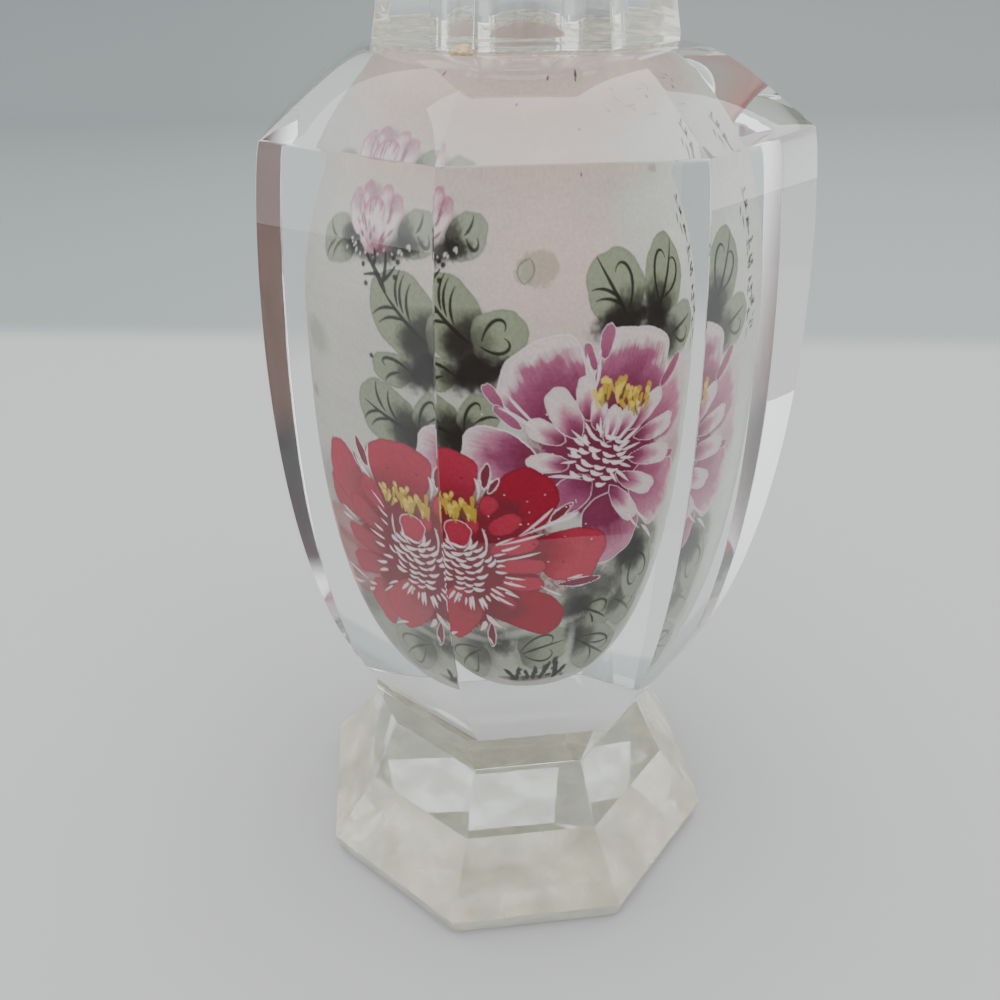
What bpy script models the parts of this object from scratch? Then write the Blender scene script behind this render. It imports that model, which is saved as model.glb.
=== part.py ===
"""Inside-painted glass vase: a waisted foot, a thick eight-sided body and a neck, glued together.

Units are metres and +Z is up. The vase stands on z = 0, with the middle of its body over the origin
and one of its eight facets facing -Y.

Each piece of glass is a profile turned in eight steps, which gives it its eight facets. The hollow
and the bore are the same kind of profile turned in many steps, and they are cut out with Booleans.
"""

import math

import bpy

# Driving dimensions. The radius of an eight-sided piece is measured to its corners. Heights ending in
# _Z are above the table that the vase stands on, and those ending in _RISE are above the neck's base.
# The foot is glued on a little to the left, and the hollow is drilled a little off the middle.
SIDES = 8
ROUND_STEPS = 40
GLUE_GAP = 0.0003
MERGE_WITHIN = 0.00001

BASE_R = 0.0345
GIRDLE_R = 0.0354
GIRDLE_Z = 0.0035
APRON_R = 0.0273
APRON_Z = 0.0138
WAIST_R = 0.0224
WAIST_Z = 0.0243
FOOT_TOP_R = 0.0252
FOOT_SHIFT = -0.0018

BODY_Z = 0.0335
BODY_BASE_R = 0.0255
SHOULDER_R = 0.0350
SHOULDER_Z = 0.1177
BELLY_UPPER = (0.0364, 0.1160)
BELLY_LOWER = (0.0443, 0.0602)
BELLY_STEPS = 20
TABLE_R = 0.0213
TABLE_Z = 0.1260
SHOULDER_BULGE = 0.0010
SHOULDER_STEPS = 5

HOLLOW_R = 0.0207
HOLLOW_WIDEST_Z = 0.0940
HOLLOW_BOTTOM_Z = 0.0411
HOLLOW_CROWN = 0.0272
HOLLOW_BLUNTNESS = 2.6
HOLLOW_STEPS = 14
BORE_R = 0.0068
BORE_OVERRUN = 0.004
BORE_SHIFT = (-0.0008, 0.0006)

NECK_R = 0.0194
NECK_BAND = 0.0009
NECK_WAIST_R = 0.0172
NECK_WAIST_RISE = 0.0115
LIP_R = 0.0212
LIP_RISE = 0.0225
LIP_BAND = 0.0022
LIP_CHAMFER = 0.0009
NECK_HEIGHT = 0.0262
MOUTH_FLARE = 0.0016

FOOT_COLOUR = (0.80, 0.81, 0.78)
BODY_COLOUR = (0.84, 0.86, 0.87)
NECK_COLOUR = (0.82, 0.84, 0.84)


def clear_scene():
    """Remove every object that the file starts with."""
    for thing in list(bpy.data.objects):
        bpy.data.objects.remove(thing)


def new_collection(name):
    """Add a collection to the scene."""
    collection = bpy.data.collections.new(name)
    bpy.context.scene.collection.children.link(collection)
    return collection


def glass(name, colour):
    """Clear polished glass with a slight tint."""
    material = bpy.data.materials.new(name)
    material.use_nodes = True
    shader = material.node_tree.nodes["Principled BSDF"]
    shader.inputs["Base Color"].default_value = (*colour, 1.0)
    shader.inputs["Roughness"].default_value = 0.03
    shader.inputs["Metallic"].default_value = 0.0
    shader.inputs["IOR"].default_value = 1.52
    shader.inputs["Transmission Weight"].default_value = 1.0
    return material


def bezier(points, steps):
    """Points along a cubic Bezier curve, both ends included."""
    found = []
    for step in range(steps + 1):
        t = step / steps
        weights = ((1 - t) ** 3, 3 * t * (1 - t) ** 2, 3 * t * t * (1 - t), t**3)
        found.append(tuple(sum(w * point[axis] for w, point in zip(weights, points)) for axis in (0, 1)))
    return found


def bulged(start, end, bulge, steps):
    """Points from start to end along a shallow curve that stands out from the straight line by bulge."""
    run = end[0] - start[0]
    fall = end[1] - start[1]
    length = math.hypot(run, fall)
    found = []
    for step in range(steps + 1):
        t = step / steps
        rise = 4 * bulge * t * (1 - t)
        found.append((start[0] + run * t - fall / length * rise, start[1] + fall * t + run / length * rise))
    return found


def turned(name, profile, steps, collection):
    """A solid of revolution, or a faceted one if steps is small, from a profile that runs top to bottom."""
    mesh = bpy.data.meshes.new(name)
    edges = [(i, i + 1) for i in range(len(profile) - 1)]
    mesh.from_pydata([(radius, 0.0, height) for radius, height in profile], edges, [])
    piece = bpy.data.objects.new(name, mesh)
    collection.objects.link(piece)
    screw = piece.modifiers.new("turn", "SCREW")
    screw.angle = math.tau
    screw.steps = steps
    screw.render_steps = steps
    screw.use_merge_vertices = True
    screw.merge_threshold = MERGE_WITHIN
    screw.use_smooth_shade = False
    piece.rotation_euler.z = math.pi / steps
    return piece


def cut(piece, cutter):
    """Take the cutter away from the piece, and leave the cutter out of renders."""
    cutter.hide_render = True
    cutter.display_type = "WIRE"
    boolean = piece.modifiers.new("cut " + cutter.name, "BOOLEAN")
    boolean.operation = "DIFFERENCE"
    boolean.object = cutter


def foot_profile():
    """Flat top, a waist, an apron that spreads to the girdle, and a flat underside."""
    top = BODY_Z - GLUE_GAP
    return [
        (0.0, top),
        (FOOT_TOP_R, top),
        (WAIST_R, WAIST_Z),
        (APRON_R, APRON_Z),
        (GIRDLE_R, GIRDLE_Z),
        (BASE_R, 0.0),
        (0.0, 0.0),
    ]


def body_profile():
    """Flat table, a sloping shoulder, and a belly that curves in to the base."""
    table = (TABLE_R, TABLE_Z)
    shoulder = (SHOULDER_R, SHOULDER_Z)
    base = (BODY_BASE_R, BODY_Z)
    slope = bulged(table, shoulder, SHOULDER_BULGE, SHOULDER_STEPS)
    belly = bezier((shoulder, BELLY_UPPER, BELLY_LOWER, base), BELLY_STEPS)
    return [(0.0, TABLE_Z)] + slope + belly[1:] + [(0.0, BODY_Z)]


def hollow_profile():
    """The bore, an elliptical crown under it, and a blunt egg shape down to the bottom."""
    above = TABLE_Z + BORE_OVERRUN
    crown_start = math.asin(BORE_R / HOLLOW_R)
    found = [(0.0, above), (BORE_R, above)]
    for step in range(HOLLOW_STEPS):
        angle = crown_start + (math.pi / 2 - crown_start) * step / HOLLOW_STEPS
        found.append((HOLLOW_R * math.sin(angle), HOLLOW_WIDEST_Z + HOLLOW_CROWN * math.cos(angle)))
    depth = HOLLOW_WIDEST_Z - HOLLOW_BOTTOM_Z
    power = 2 / HOLLOW_BLUNTNESS
    for step in range(HOLLOW_STEPS):
        angle = math.pi / 2 * step / HOLLOW_STEPS
        radius = HOLLOW_R * math.cos(angle) ** power
        found.append((radius, HOLLOW_WIDEST_Z - depth * math.sin(angle) ** power))
    return found + [(0.0, HOLLOW_BOTTOM_Z)]


def neck_profile():
    """A narrow band at the glue, a waist, and a flared lip with a chamfered rim."""
    start = TABLE_Z + GLUE_GAP
    return [
        (0.0, start + NECK_HEIGHT),
        (LIP_R - LIP_CHAMFER, start + NECK_HEIGHT),
        (LIP_R, start + LIP_RISE + LIP_BAND),
        (LIP_R, start + LIP_RISE),
        (NECK_WAIST_R, start + NECK_WAIST_RISE),
        (NECK_R, start + NECK_BAND),
        (NECK_R, start),
        (0.0, start),
    ]


def bore_profile():
    """A straight bore with a countersunk mouth."""
    rim = TABLE_Z + GLUE_GAP + NECK_HEIGHT
    return [
        (0.0, rim + MOUTH_FLARE),
        (BORE_R + 2 * MOUTH_FLARE, rim + MOUTH_FLARE),
        (BORE_R, rim - MOUTH_FLARE),
        (BORE_R, TABLE_Z - MOUTH_FLARE),
        (0.0, TABLE_Z - MOUTH_FLARE),
    ]


def main():
    clear_scene()
    vase = new_collection("inside_painted_glass_vase")
    cutters = new_collection("cutters")

    foot = turned("foot", foot_profile(), SIDES, vase)
    foot.location.x = FOOT_SHIFT
    foot.data.materials.append(glass("foot glass", FOOT_COLOUR))

    body = turned("body", body_profile(), SIDES, vase)
    body.data.materials.append(glass("body glass", BODY_COLOUR))
    hollow = turned("hollow", hollow_profile(), ROUND_STEPS, cutters)
    hollow.location.xy = BORE_SHIFT
    cut(body, hollow)

    neck = turned("neck", neck_profile(), SIDES, vase)
    neck.location.xy = BORE_SHIFT
    neck.data.materials.append(glass("neck glass", NECK_COLOUR))
    bore = turned("bore", bore_profile(), ROUND_STEPS, cutters)
    bore.location.xy = BORE_SHIFT
    cut(neck, bore)


main()
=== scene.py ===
"""Inside-painted glass vase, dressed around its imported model.

The glass is three cut pieces: a waisted foot, a thick eight-sided body and a bored neck. The body has a
turned hollow, and peonies are painted on the hollow's wall under a milky ground. Thin glue joins the
pieces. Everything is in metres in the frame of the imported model, and +Z is up.
"""

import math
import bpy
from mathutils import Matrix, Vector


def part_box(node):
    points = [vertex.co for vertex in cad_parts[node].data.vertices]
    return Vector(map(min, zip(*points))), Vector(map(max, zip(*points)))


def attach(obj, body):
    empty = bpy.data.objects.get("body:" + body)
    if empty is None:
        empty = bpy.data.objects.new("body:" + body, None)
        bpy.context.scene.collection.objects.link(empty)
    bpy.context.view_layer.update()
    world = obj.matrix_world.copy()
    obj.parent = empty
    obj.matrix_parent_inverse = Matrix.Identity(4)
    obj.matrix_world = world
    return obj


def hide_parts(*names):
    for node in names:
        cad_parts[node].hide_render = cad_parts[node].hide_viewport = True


bl_info = {
    "name": "Inside-painted glass vase",
    "version": (1, 0, 0),
    "blender": (4, 5, 0),
    "location": "View3D > Sidebar > Vase",
    "description": "Cut glass, an inside painting and glue around the packed model of a vase",
    "category": "Add Mesh",
}

import bpy
import numpy as np
from bpy.props import FloatProperty, FloatVectorProperty, IntProperty, PointerProperty

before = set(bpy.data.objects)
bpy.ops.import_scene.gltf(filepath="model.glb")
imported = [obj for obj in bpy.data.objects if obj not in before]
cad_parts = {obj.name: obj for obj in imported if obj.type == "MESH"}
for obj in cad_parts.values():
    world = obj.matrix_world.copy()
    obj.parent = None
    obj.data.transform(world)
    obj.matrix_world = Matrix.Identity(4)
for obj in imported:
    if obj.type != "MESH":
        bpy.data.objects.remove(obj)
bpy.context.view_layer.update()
FOOT_LOW, FOOT_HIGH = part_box("foot")
BODY_LOW, BODY_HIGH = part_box("body")
NECK_LOW, NECK_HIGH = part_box("neck")

MM = 0.001
BLACK = (0.0, 0.0, 0.0, 1.0)

# How finely the pieces are drawn, merged, turned and smoothed, and how far a drill runs past the glass.
SEED_SIZE = 0.0001
MERGE_WITHIN = 0.000001
SLOPE_STEPS = 16
BELLY_STEPS = 48
DRILL_STEPS = 96
DRILL_PAST = 0.004
CURVE_STEPS = 400
WALL_ROW = 0.0008
BEVEL_ANGLE = math.radians(14)
SMOOTH_ANGLE = math.radians(8)

# Colour of the haze, and for each piece the depth of the ripple that polishing leaves and its share of haze.
HAZE = (0.80, 0.79, 0.76)
FOOT_POLISH = (0.000006, 0.03)
BODY_POLISH = (0.000002, 0.004)
NECK_POLISH = (0.000004, 0.04)

# Shares of milky finish: the least, and how much more there is in patches.
UNDERSIDE_MILK = (0.42, 0.2)
APRON_MILK = (0.12, 0.18)
BASE_MILK = (0.95, 0.0)

# Shares of clouded glue: the least and the most.
NECK_CLOUD = (0.25, 0.8)
FOOT_CLOUD = (0.15, 0.5)

# Patterns, in waves per metre.
RIPPLES = 140.0
DUST = 90.0
STAINS = 190.0
MILK = 130.0
CLOUDS = 260.0
DROP_BLOTCHES = 900.0
DROP_PITS = 1400.0
MOTTLE = 2600.0

# The painting: the radius that its millimetres are measured on, how far out of the wall its two layers
# lie, the ground's rows and steps, and the heights and the least radius of the finely painted part.
ROUND_RADIUS = 0.021
GROUND_OUT = 0.00006
GROUND_ROW = 0.0007
GROUND_STEPS = 190
PAINT_OUT = 0.0001
PICTURE_LOW = 0.043
PICTURE_HIGH = 0.1195
PICTURE_INNER = 0.005

# The paint: the dark that mottles it, how fast it clears as it gets paler, and the glow of clear paint.
SOOT = (0.02, 0.02, 0.02)
THIN_PAINT = 1.6
GLOW_SHARE = 0.12

# The sheets of fine paint: name, first and last angle from the front to the right, and size of cell.
PAINT_SHEETS = (
    ("painting_far_left", -142.0, -62.0, 0.0002),
    ("painting_left", -62.0, -22.0, 0.000115),
    ("painting_middle", -22.0, 18.0, 0.000115),
    ("painting_right", 18.0, 58.0, 0.000115),
    ("painting_far_right", 58.0, 82.0, 0.00016),
)

# The table's size, the backdrop's curve behind it, where its painted light and shade shift, lighter to the
# right and darker to the back, and how wide the seam between table and backdrop is.
TABLE_SIZE = 2.4
TABLE_MIDDLE = (0.0, -0.3, -0.0002)
BACKDROP_STEPS = 16
BACKDROP_RADIUS = 0.3
BACKDROP_RISE = 1.0
BACKDROP_LIT_SIDES = (-0.30, 0.24)
BACKDROP_FAR = 1.0
SEAM = 0.014

# The dim side of the studio before the vase: where it sets in to the front, below, and from left and right,
# and the heights between which it turns from its low to its high colour.
DIM_FRONT = (-0.2, -0.6)
DIM_BELOW = (0.78, 0.6)
DIM_LEFT = (-0.42, -0.22)
DIM_RIGHT = (0.5, 0.3)
DIM_HEIGHTS = (0.0, 0.2)

# The soft light overhead.
LAMP_PLACE = (0.0, 0.1, 1.1)
LAMP_SIZE = 1.0


def number(name, description, default, **more):
    """A property that is a number."""
    return FloatProperty(name=name, description=description, default=default, **more)


def length(name, description, default):
    """A property that is a length."""
    return number(name, description, default, precision=5, unit="LENGTH", subtype="DISTANCE")


def row(name, description, default, **more):
    """A property that is a row of numbers."""
    size = len(default)
    return FloatVectorProperty(name=name, description=description, default=default, size=size, **more)


def whole_number(name, description, default, **more):
    """A property that is a whole number."""
    return IntProperty(name=name, description=description, default=default, **more)


def colour(name, description, default):
    """A property that is a colour."""
    return row(name, description, default, min=0.0, max=1.0, subtype="COLOR")


def pigment(name, default):
    """A property that is the colour of a paint."""
    return colour(name, "Paint: " + name.lower(), default)


class FootSizes(bpy.types.PropertyGroup):
    """Radii of the foot to its corners, and its heights."""

    underside: length("Underside", "Radius of the flat underside", 0.0345)
    girdle: length("Girdle", "Radius of the sharp girdle", 0.0354)
    girdle_height: length("Girdle height", "Height of the girdle", 0.0035)
    apron: length("Apron", "Radius where the apron meets the waist", 0.0273)
    apron_height: length("Apron height", "Height where the apron meets the waist", 0.0138)
    waist: length("Waist", "Radius of the waist", 0.0224)
    waist_height: length("Waist height", "Height of the waist", 0.0243)
    top: length("Top", "Radius of the flat top", 0.0252)
    shift: length("Shift", "How far off the middle the foot is glued on", -0.0018)


class BodySizes(bpy.types.PropertyGroup):
    """Radii of the body to its corners, its heights, and its hollow."""

    base: length("Base", "Radius of the base", 0.0255)
    shoulder: length("Shoulder", "Radius of the shoulder's edge", 0.0350)
    shoulder_height: length("Shoulder height", "Height of the shoulder's edge", 0.1177)
    upper_pull: length("Upper pull", "Radius that the belly's curve is drawn to under the shoulder", 0.0364)
    upper_pull_height: length("Upper pull height", "Height of the upper pull", 0.1160)
    lower_pull: length("Lower pull", "Radius that the belly's curve is drawn to above the base", 0.0443)
    lower_pull_height: length("Lower pull height", "Height of the lower pull", 0.0602)
    table: length("Table", "Radius of the flat table that the neck stands on", 0.0213)
    bulge: length("Bulge", "How far the shoulder's facets stand out near the table", 0.0012)
    bulge_outer: length("Outer bulge", "How far the shoulder's facets stand out near their edge", 0.0005)
    hollow: length("Hollow", "Radius of the hollow at its widest", 0.0207)
    hollow_widest: length("Hollow widest", "Height where the hollow is widest", 0.0940)
    hollow_bottom: length("Hollow bottom", "Height of the hollow's bottom", 0.0411)
    hollow_crown: length("Hollow crown", "Height of the crown above the widest part", 0.0272)
    hollow_bluntness: number("Hollow bluntness", "How full its lower half is", 2.6, min=1.5, max=5.0)
    facet_out: row(
        "Facets out",
        "How far each facet stands out of the regular shape, from the front one on round to the right",
        (0.0, 0.0, 0.0, 0.0, -0.0004, 0.0015, -0.0006, 0.0),
        precision=5,
        unit="LENGTH",
    )
    bore: length("Bore", "Radius of the bore", 0.0068)
    bore_x: length("Bore to the right", "How far off the middle the bore is, to the right", -0.0008)
    bore_y: length("Bore to the back", "How far off the middle the bore is, to the back", 0.0006)


class NeckSizes(bpy.types.PropertyGroup):
    """Radii of the neck to its corners, and its heights above its own base."""

    base: length("Base", "Radius of the neck's base", 0.0194)
    band: length("Band", "Height of the upright band at the base", 0.0009)
    waist: length("Waist", "Radius of the neck's waist", 0.0172)
    waist_rise: length("Waist rise", "Height of the waist", 0.0115)
    lip: length("Lip", "Radius of the lip", 0.0212)
    lip_rise: length("Lip rise", "Height where the lip begins", 0.0225)
    lip_band: length("Lip band", "Height of the lip's upright band", 0.0022)
    lip_chamfer: length("Lip chamfer", "Width of the chamfer on the lip", 0.0009)
    mouth_flare: length("Mouth flare", "Depth of the countersink at the mouth", 0.0016)


class GlueSizes(bpy.types.PropertyGroup):
    """The thin glue in the two joints, and the drop of it at the neck."""

    neck: length("Neck joint", "Radius of the glue under the neck, to its corners", 0.0192)
    foot: length("Foot joint", "Radius of the glue on the foot, to its corners", 0.0249)
    foot_shift: length("Foot joint to the right", "How far off the middle the glue on the foot is", -0.0009)
    bite: length("Bite", "How far the glue reaches into the roughness of each glass", 0.00003)
    drop_radius: length("Drop's place", "How far the drop sits from the middle of the neck", 0.0192)
    drop_turn: number("Drop's turn", "Its place round the neck", math.radians(-26.0), subtype="ANGLE")
    drop_size: row(
        "Drop's size",
        "Half the drop's length, depth and height",
        (0.00135, 0.0008, 0.0007),
        precision=5,
        unit="LENGTH",
        subtype="XYZ",
    )


class GlassLook(bpy.types.PropertyGroup):
    """How the glass is cut, polished and tinted, with a painted shade and a painted crown glow."""

    facets: whole_number("Facets", "Facets round each piece of glass", 8, min=3, max=16)
    edge: length("Edge", "Width of the fine bevel along the cut edges", 0.00012)
    tint: colour("Tint", "Faint tint of the clear glass", (0.975, 0.985, 0.982))
    foot_tint: colour("Foot tint", "Warmer tint of the foot", (0.955, 0.962, 0.935))
    glue_tint: colour("Glue tint", "Yellowed tint of the clear glue", (0.97, 0.93, 0.82))
    glue_cream: colour("Glue cream", "Cloudy cream of the dried glue", (0.93, 0.88, 0.74))
    drop_tint: colour("Drop tint", "Ochre of the drop of glue at the neck", (0.62, 0.47, 0.26))
    base_milk: colour("Milky base", "Colour of the body's ground base", (0.98, 1.0, 1.0))
    stain: colour("Stain", "Colour of the milky finish where it is stained", (0.95, 0.87, 0.68))
    # Painted shade: the waist's glass is tinted darker and bluer than the rest of the foot to shade its
    # windows.
    waist_shade_tint: colour("Waist tint", "Tint of the foot's waist", (0.83, 0.875, 0.865))
    # Painted light: the crown's paint glows by emission, standing in for the light that is missing under the
    # neck.
    crown_painted_glow: number("Glow of the crown", "Light that the milky ground scatters into the crown", 0.235)
    crown_rise: row("Rise of the glow", "Heights where the glow sets in", (0.1135, 0.1165), unit="LENGTH")
    underside: colour("Ground underside", "Colour of the foot's ground underside", (0.98, 0.93, 0.76))
    ior: number("Index", "Index of refraction of the glass", 1.52, min=1.0, max=2.5)
    glue_ior: number("Glue's index", "Index of refraction of the glue", 1.5, min=1.0, max=2.5)


class PaintColours(bpy.types.PropertyGroup):
    """Colours of the paints and the milky ground."""

    ground: pigment("Milky ground", (0.63, 0.605, 0.555))
    glow: colour("Glow through the ground", "Light that the thin ground lets through", (0.86, 0.82, 0.78))
    ground_pale: pigment("Paler ground on the right", (0.745, 0.755, 0.68))
    # Partly paler ground, partly a painted glare along the right facet's edge.
    ground_bright_and_glare: pigment("Brightest ground low on the right", (0.877, 0.912, 0.83))
    # Painted light: the crown paint is the ground's pinker tone, made paler against the shade under the
    # neck.
    crown: pigment("Ground under the neck", (0.82, 0.62, 0.555))
    blush: pigment("Blush under the neck", (0.76, 0.57, 0.515))
    light_red: pigment("Lit red", (0.45, 0.037, 0.07))
    red: pigment("Red", (0.365, 0.022, 0.05))
    crimson: pigment("Crimson", (0.32, 0.015, 0.036))
    plum: pigment("Plum between the red petals", (0.2, 0.021, 0.036))
    dusty_red: pigment("Dusty red", (0.36, 0.055, 0.075))
    faded_red: pigment("Faded red", (0.36, 0.085, 0.105))
    salmon: pigment("Salmon", (0.85, 0.40, 0.33))
    dark_red: pigment("Dark red", (0.2, 0.03, 0.05))
    rose_white: pigment("Rose white lines", (1.0, 0.85, 0.88))
    lilac: pigment("Lilac", (0.58, 0.25, 0.34))
    rose: pigment("Rose", (0.42, 0.135, 0.225))
    magenta: pigment("Magenta", (0.29, 0.068, 0.142))
    deep_magenta: pigment("Deep magenta", (0.213, 0.035, 0.084))
    wine: pigment("Wine", (0.159, 0.021, 0.05))
    violet: pigment("Violet", (0.307, 0.06, 0.15))
    rim: pigment("Pale petal rims", (0.84, 0.70, 0.69))
    bud: pigment("Bud", (0.86, 0.73, 0.73))
    leaf: pigment("Leaf green", (0.285, 0.313, 0.218))
    leaf_pale: pigment("Pale leaf green", (0.33, 0.35, 0.27))
    leaf_light: pigment("Light leaf green", (0.43, 0.455, 0.36))
    leaf_shade: pigment("Shaded leaf green", (0.175, 0.179, 0.135))
    ink: pigment("Ink", (0.024, 0.022, 0.021))
    charcoal: pigment("Thin ink", (0.069, 0.066, 0.061))
    grey_wash: pigment("Grey wash", (0.3, 0.28, 0.27))
    ochre: pigment("Ochre", (0.56, 0.37, 0.055))
    ochre_light: pigment("Light ochre", (0.80, 0.58, 0.12))
    brown: pigment("Brown", (0.16, 0.07, 0.04))
    olive_wash: pigment("Olive wash", (0.405, 0.351, 0.256))


class StageLook(bpy.types.PropertyGroup):
    """Camera, table and light."""

    lens: number("Lens", "Focal length of the camera", 32.4, unit="CAMERA")
    camera: row("Camera", "Place of the camera", (-0.017495, -0.121703, 0.133827), subtype="TRANSLATION")
    aim: row(
        "Aim",
        "Turn of the camera",
        (math.radians(59.4195), math.radians(0.3142), math.radians(-6.6569)),
        subtype="EULER",
    )
    table: colour("Table", "Colour of the pale table", (0.383, 0.384, 0.376))
    table_front: length("Table front", "How far before the vase the table ends", 0.126)
    backdrop: colour("Backdrop", "Colour of the backdrop near the table", (0.228, 0.252, 0.252))
    # Painted shade and light: the backdrop is darker far off and lighter on the right.
    backdrop_far: colour("Backdrop far", "Colour of the backdrop far off", (0.217, 0.238, 0.238))
    lit_backdrop_right: colour("Backdrop right", "Colour of the near right side", (0.275, 0.292, 0.287))
    lit_backdrop_far_right: colour("Backdrop far right", "Colour of the far right side", (0.258, 0.275, 0.273))
    table_depth: length("Table depth", "How far behind the vase the table ends", 0.238)
    table_turn: number("Table turn", "Turn of the table's far edge", math.radians(9.55), subtype="ANGLE")
    sky: colour("Sky", "Colour of the light from all round", (0.95, 0.98, 1.0))
    sky_strength: number("Sky strength", "Strength of the light from all round", 2.2)
    room_low: colour("Shaded side, low", "Colour of the shaded side up to the table", (0.062, 0.03, 0.023))
    room_high: colour("Shaded side, high", "Colour of the shaded side higher up", (0.004, 0.004, 0.005))
    bounces: whole_number("Bounces", "How often light may turn inside the glass", 28, min=4)
    overhead: number("Overhead", "Power of the soft light overhead", 9.0, unit="POWER")


SETTINGS = {
    "vase_foot": FootSizes,
    "vase_body": BodySizes,
    "vase_neck": NeckSizes,
    "vase_glue": GlueSizes,
    "vase_glass": GlassLook,
    "vase_paints": PaintColours,
    "vase_stage": StageLook,
}


class Wire:
    """An output of a material's nodes, whose arithmetic adds Math nodes."""

    def __init__(self, finish, socket):
        self.finish = finish
        self.socket = socket

    def maths(self, operation, first, second):
        """A Math node on two values."""
        return self.finish.node("ShaderNodeMath", {"operation": operation}, {0: first, 1: second})

    def __add__(self, other):
        return self.maths("ADD", self, other)

    __radd__ = __add__

    def __sub__(self, other):
        return self.maths("SUBTRACT", self, other)

    def __rsub__(self, other):
        return self.maths("SUBTRACT", other, self)

    def __mul__(self, other):
        return self.maths("MULTIPLY", self, other)

    __rmul__ = __mul__


class Finish:
    """A material, or the studio's world, and the nodes in it."""

    def __init__(self, name, world=None):
        self.material = world or bpy.data.materials.new(name)
        self.material.use_nodes = True
        self.tree = self.material.node_tree
        self.shader = self.tree.nodes["Background" if world else "Principled BSDF"]

    def node(self, kind, settings=None, inputs=None, output=0):
        """Add a node: its settings first, then the values or links of its sockets."""
        made = self.tree.nodes.new(kind)
        for name, value in (settings or {}).items():
            setattr(made, name, value)
        for name, value in (inputs or {}).items():
            self.put(made.inputs[name], value)
        return Wire(self, made.outputs[output])

    def put(self, socket, value):
        """Link a wire to a socket, or set the socket to a plain value."""
        if isinstance(value, Wire):
            self.tree.links.new(value.socket, socket)
        else:
            socket.default_value = value

    def surface(self, **inputs):
        """Set sockets of the main shader, whose names are written with underscores."""
        for name, value in inputs.items():
            self.put(self.shader.inputs[name.replace("_", " ")], value)

    def clear(self, tint, ior):
        """Make the main shader clear and polished."""
        self.surface(Base_Color=opaque(tint), Roughness=0.0, IOR=ior, Transmission_Weight=1.0)

    def film(self, kind, tint):
        """A Diffuse or a Translucent shader of a plain colour."""
        return self.node("ShaderNodeBsdf" + kind, {}, {"Color": opaque(tint)})

    def blend(self, share, first, second):
        """A mix of two shaders, with so large a share of the second."""
        return self.node("ShaderNodeMixShader", {}, {0: share, 1: first, 2: second})

    def cover(self, share, film):
        """Close the material: the main shader, with so large a share of a film over it."""
        body = Wire(self, self.shader.outputs[0])
        self.put(self.tree.nodes["Material Output"].inputs["Surface"], self.blend(share, body, film))
        return self.material

    def object_place(self):
        """Object coordinates."""
        return self.node("ShaderNodeTexCoord", output="Object")

    def noise(self, scale, detail):
        """Smooth noise between 0 and 1, with scale in waves per metre."""
        inputs = {"Vector": self.object_place(), "Scale": scale, "Detail": detail}
        return self.node("ShaderNodeTexNoise", {}, inputs)

    def part(self, place, axis):
        """One part of a place: 0 to the right, 1 to the back, 2 up."""
        return self.node("ShaderNodeSeparateXYZ", {}, {0: place}, output=axis)

    def fade(self, value, start, end):
        """A smooth step from 0 at start to 1 at end."""
        limits = {"Value": value, "From Min": start, "From Max": end}
        return self.node("ShaderNodeMapRange", {"interpolation_type": "SMOOTHSTEP"}, limits)

    def mix(self, factor, first, second):
        """A mix of two colours."""
        return self.node("ShaderNodeMix", {"data_type": "RGBA"}, {0: factor, 6: first, 7: second}, output=2)

    def bump(self, height, strength, distance):
        """A normal that follows a height."""
        inputs = {"Height": height, "Strength": strength, "Distance": distance}
        return self.node("ShaderNodeBump", {}, inputs)


def opaque(shade):
    """A colour with full alpha."""
    return (*shade, 1.0)


def bezier(points, steps):
    """Points along a cubic Bezier curve, both ends included."""
    found = []
    for step in range(steps + 1):
        t = step / steps
        weights = ((1 - t) ** 3, 3 * t * (1 - t) ** 2, 3 * t * t * (1 - t), t**3)
        found.append(tuple(sum(w * point[axis] for w, point in zip(weights, points)) for axis in (0, 1)))
    return found


def off_line(start, end, t, rise):
    """A place part of the way from start to end, and a distance off the straight line."""
    run = end[0] - start[0]
    fall = end[1] - start[1]
    span = math.hypot(run, fall)
    return (start[0] + run * t - fall / span * rise, start[1] + fall * t + run / span * rise)


def draw_profile(name, points, angle=0.0, centre=(0.0, 0.0)):
    """A vertex drawn out point by point along (radius, height) pairs, left in edit mode."""
    bpy.ops.object.select_all(action="DESELECT")
    across = math.cos(angle)
    along = math.sin(angle)
    radius, height = points[0]
    start = (centre[0] + radius * across, centre[1] + radius * along, height)
    bpy.ops.mesh.primitive_plane_add(size=SEED_SIZE, location=start)
    piece = bpy.context.object
    piece.name = name
    piece.data.name = name
    bpy.ops.object.transform_apply(location=True, rotation=False, scale=False)
    bpy.ops.object.mode_set(mode="EDIT")
    bpy.ops.mesh.select_all(action="SELECT")
    bpy.ops.mesh.merge(type="CENTER")
    for (here, low), (there, high) in zip(points, points[1:]):
        step = ((there - here) * across, (there - here) * along, high - low)
        bpy.ops.mesh.extrude_region_move(TRANSFORM_OT_translate={"value": step})
    return piece


def turn_profile(steps, centre=(0.0, 0.0), angle=math.tau):
    """Spin the profile being edited about the upright line through centre, and close its seam and poles."""
    bpy.ops.mesh.select_all(action="SELECT")
    bpy.ops.mesh.spin(steps=steps, angle=angle, center=(*centre, 0.0), axis=(0.0, 0.0, 1.0))
    bpy.ops.mesh.select_all(action="SELECT")
    bpy.ops.mesh.remove_doubles(threshold=MERGE_WITHIN)
    bpy.ops.mesh.normals_make_consistent(inside=False)
    bpy.ops.object.mode_set(mode="OBJECT")


def faceted(name, points, centre=(0.0, 0.0)):
    """A block of cut glass whose facets come from turning a profile in a few steps."""
    facets = bpy.context.scene.vase_glass.facets
    piece = draw_profile(name, points, math.pi / facets, centre)
    turn_profile(facets, centre)
    return piece


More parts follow.
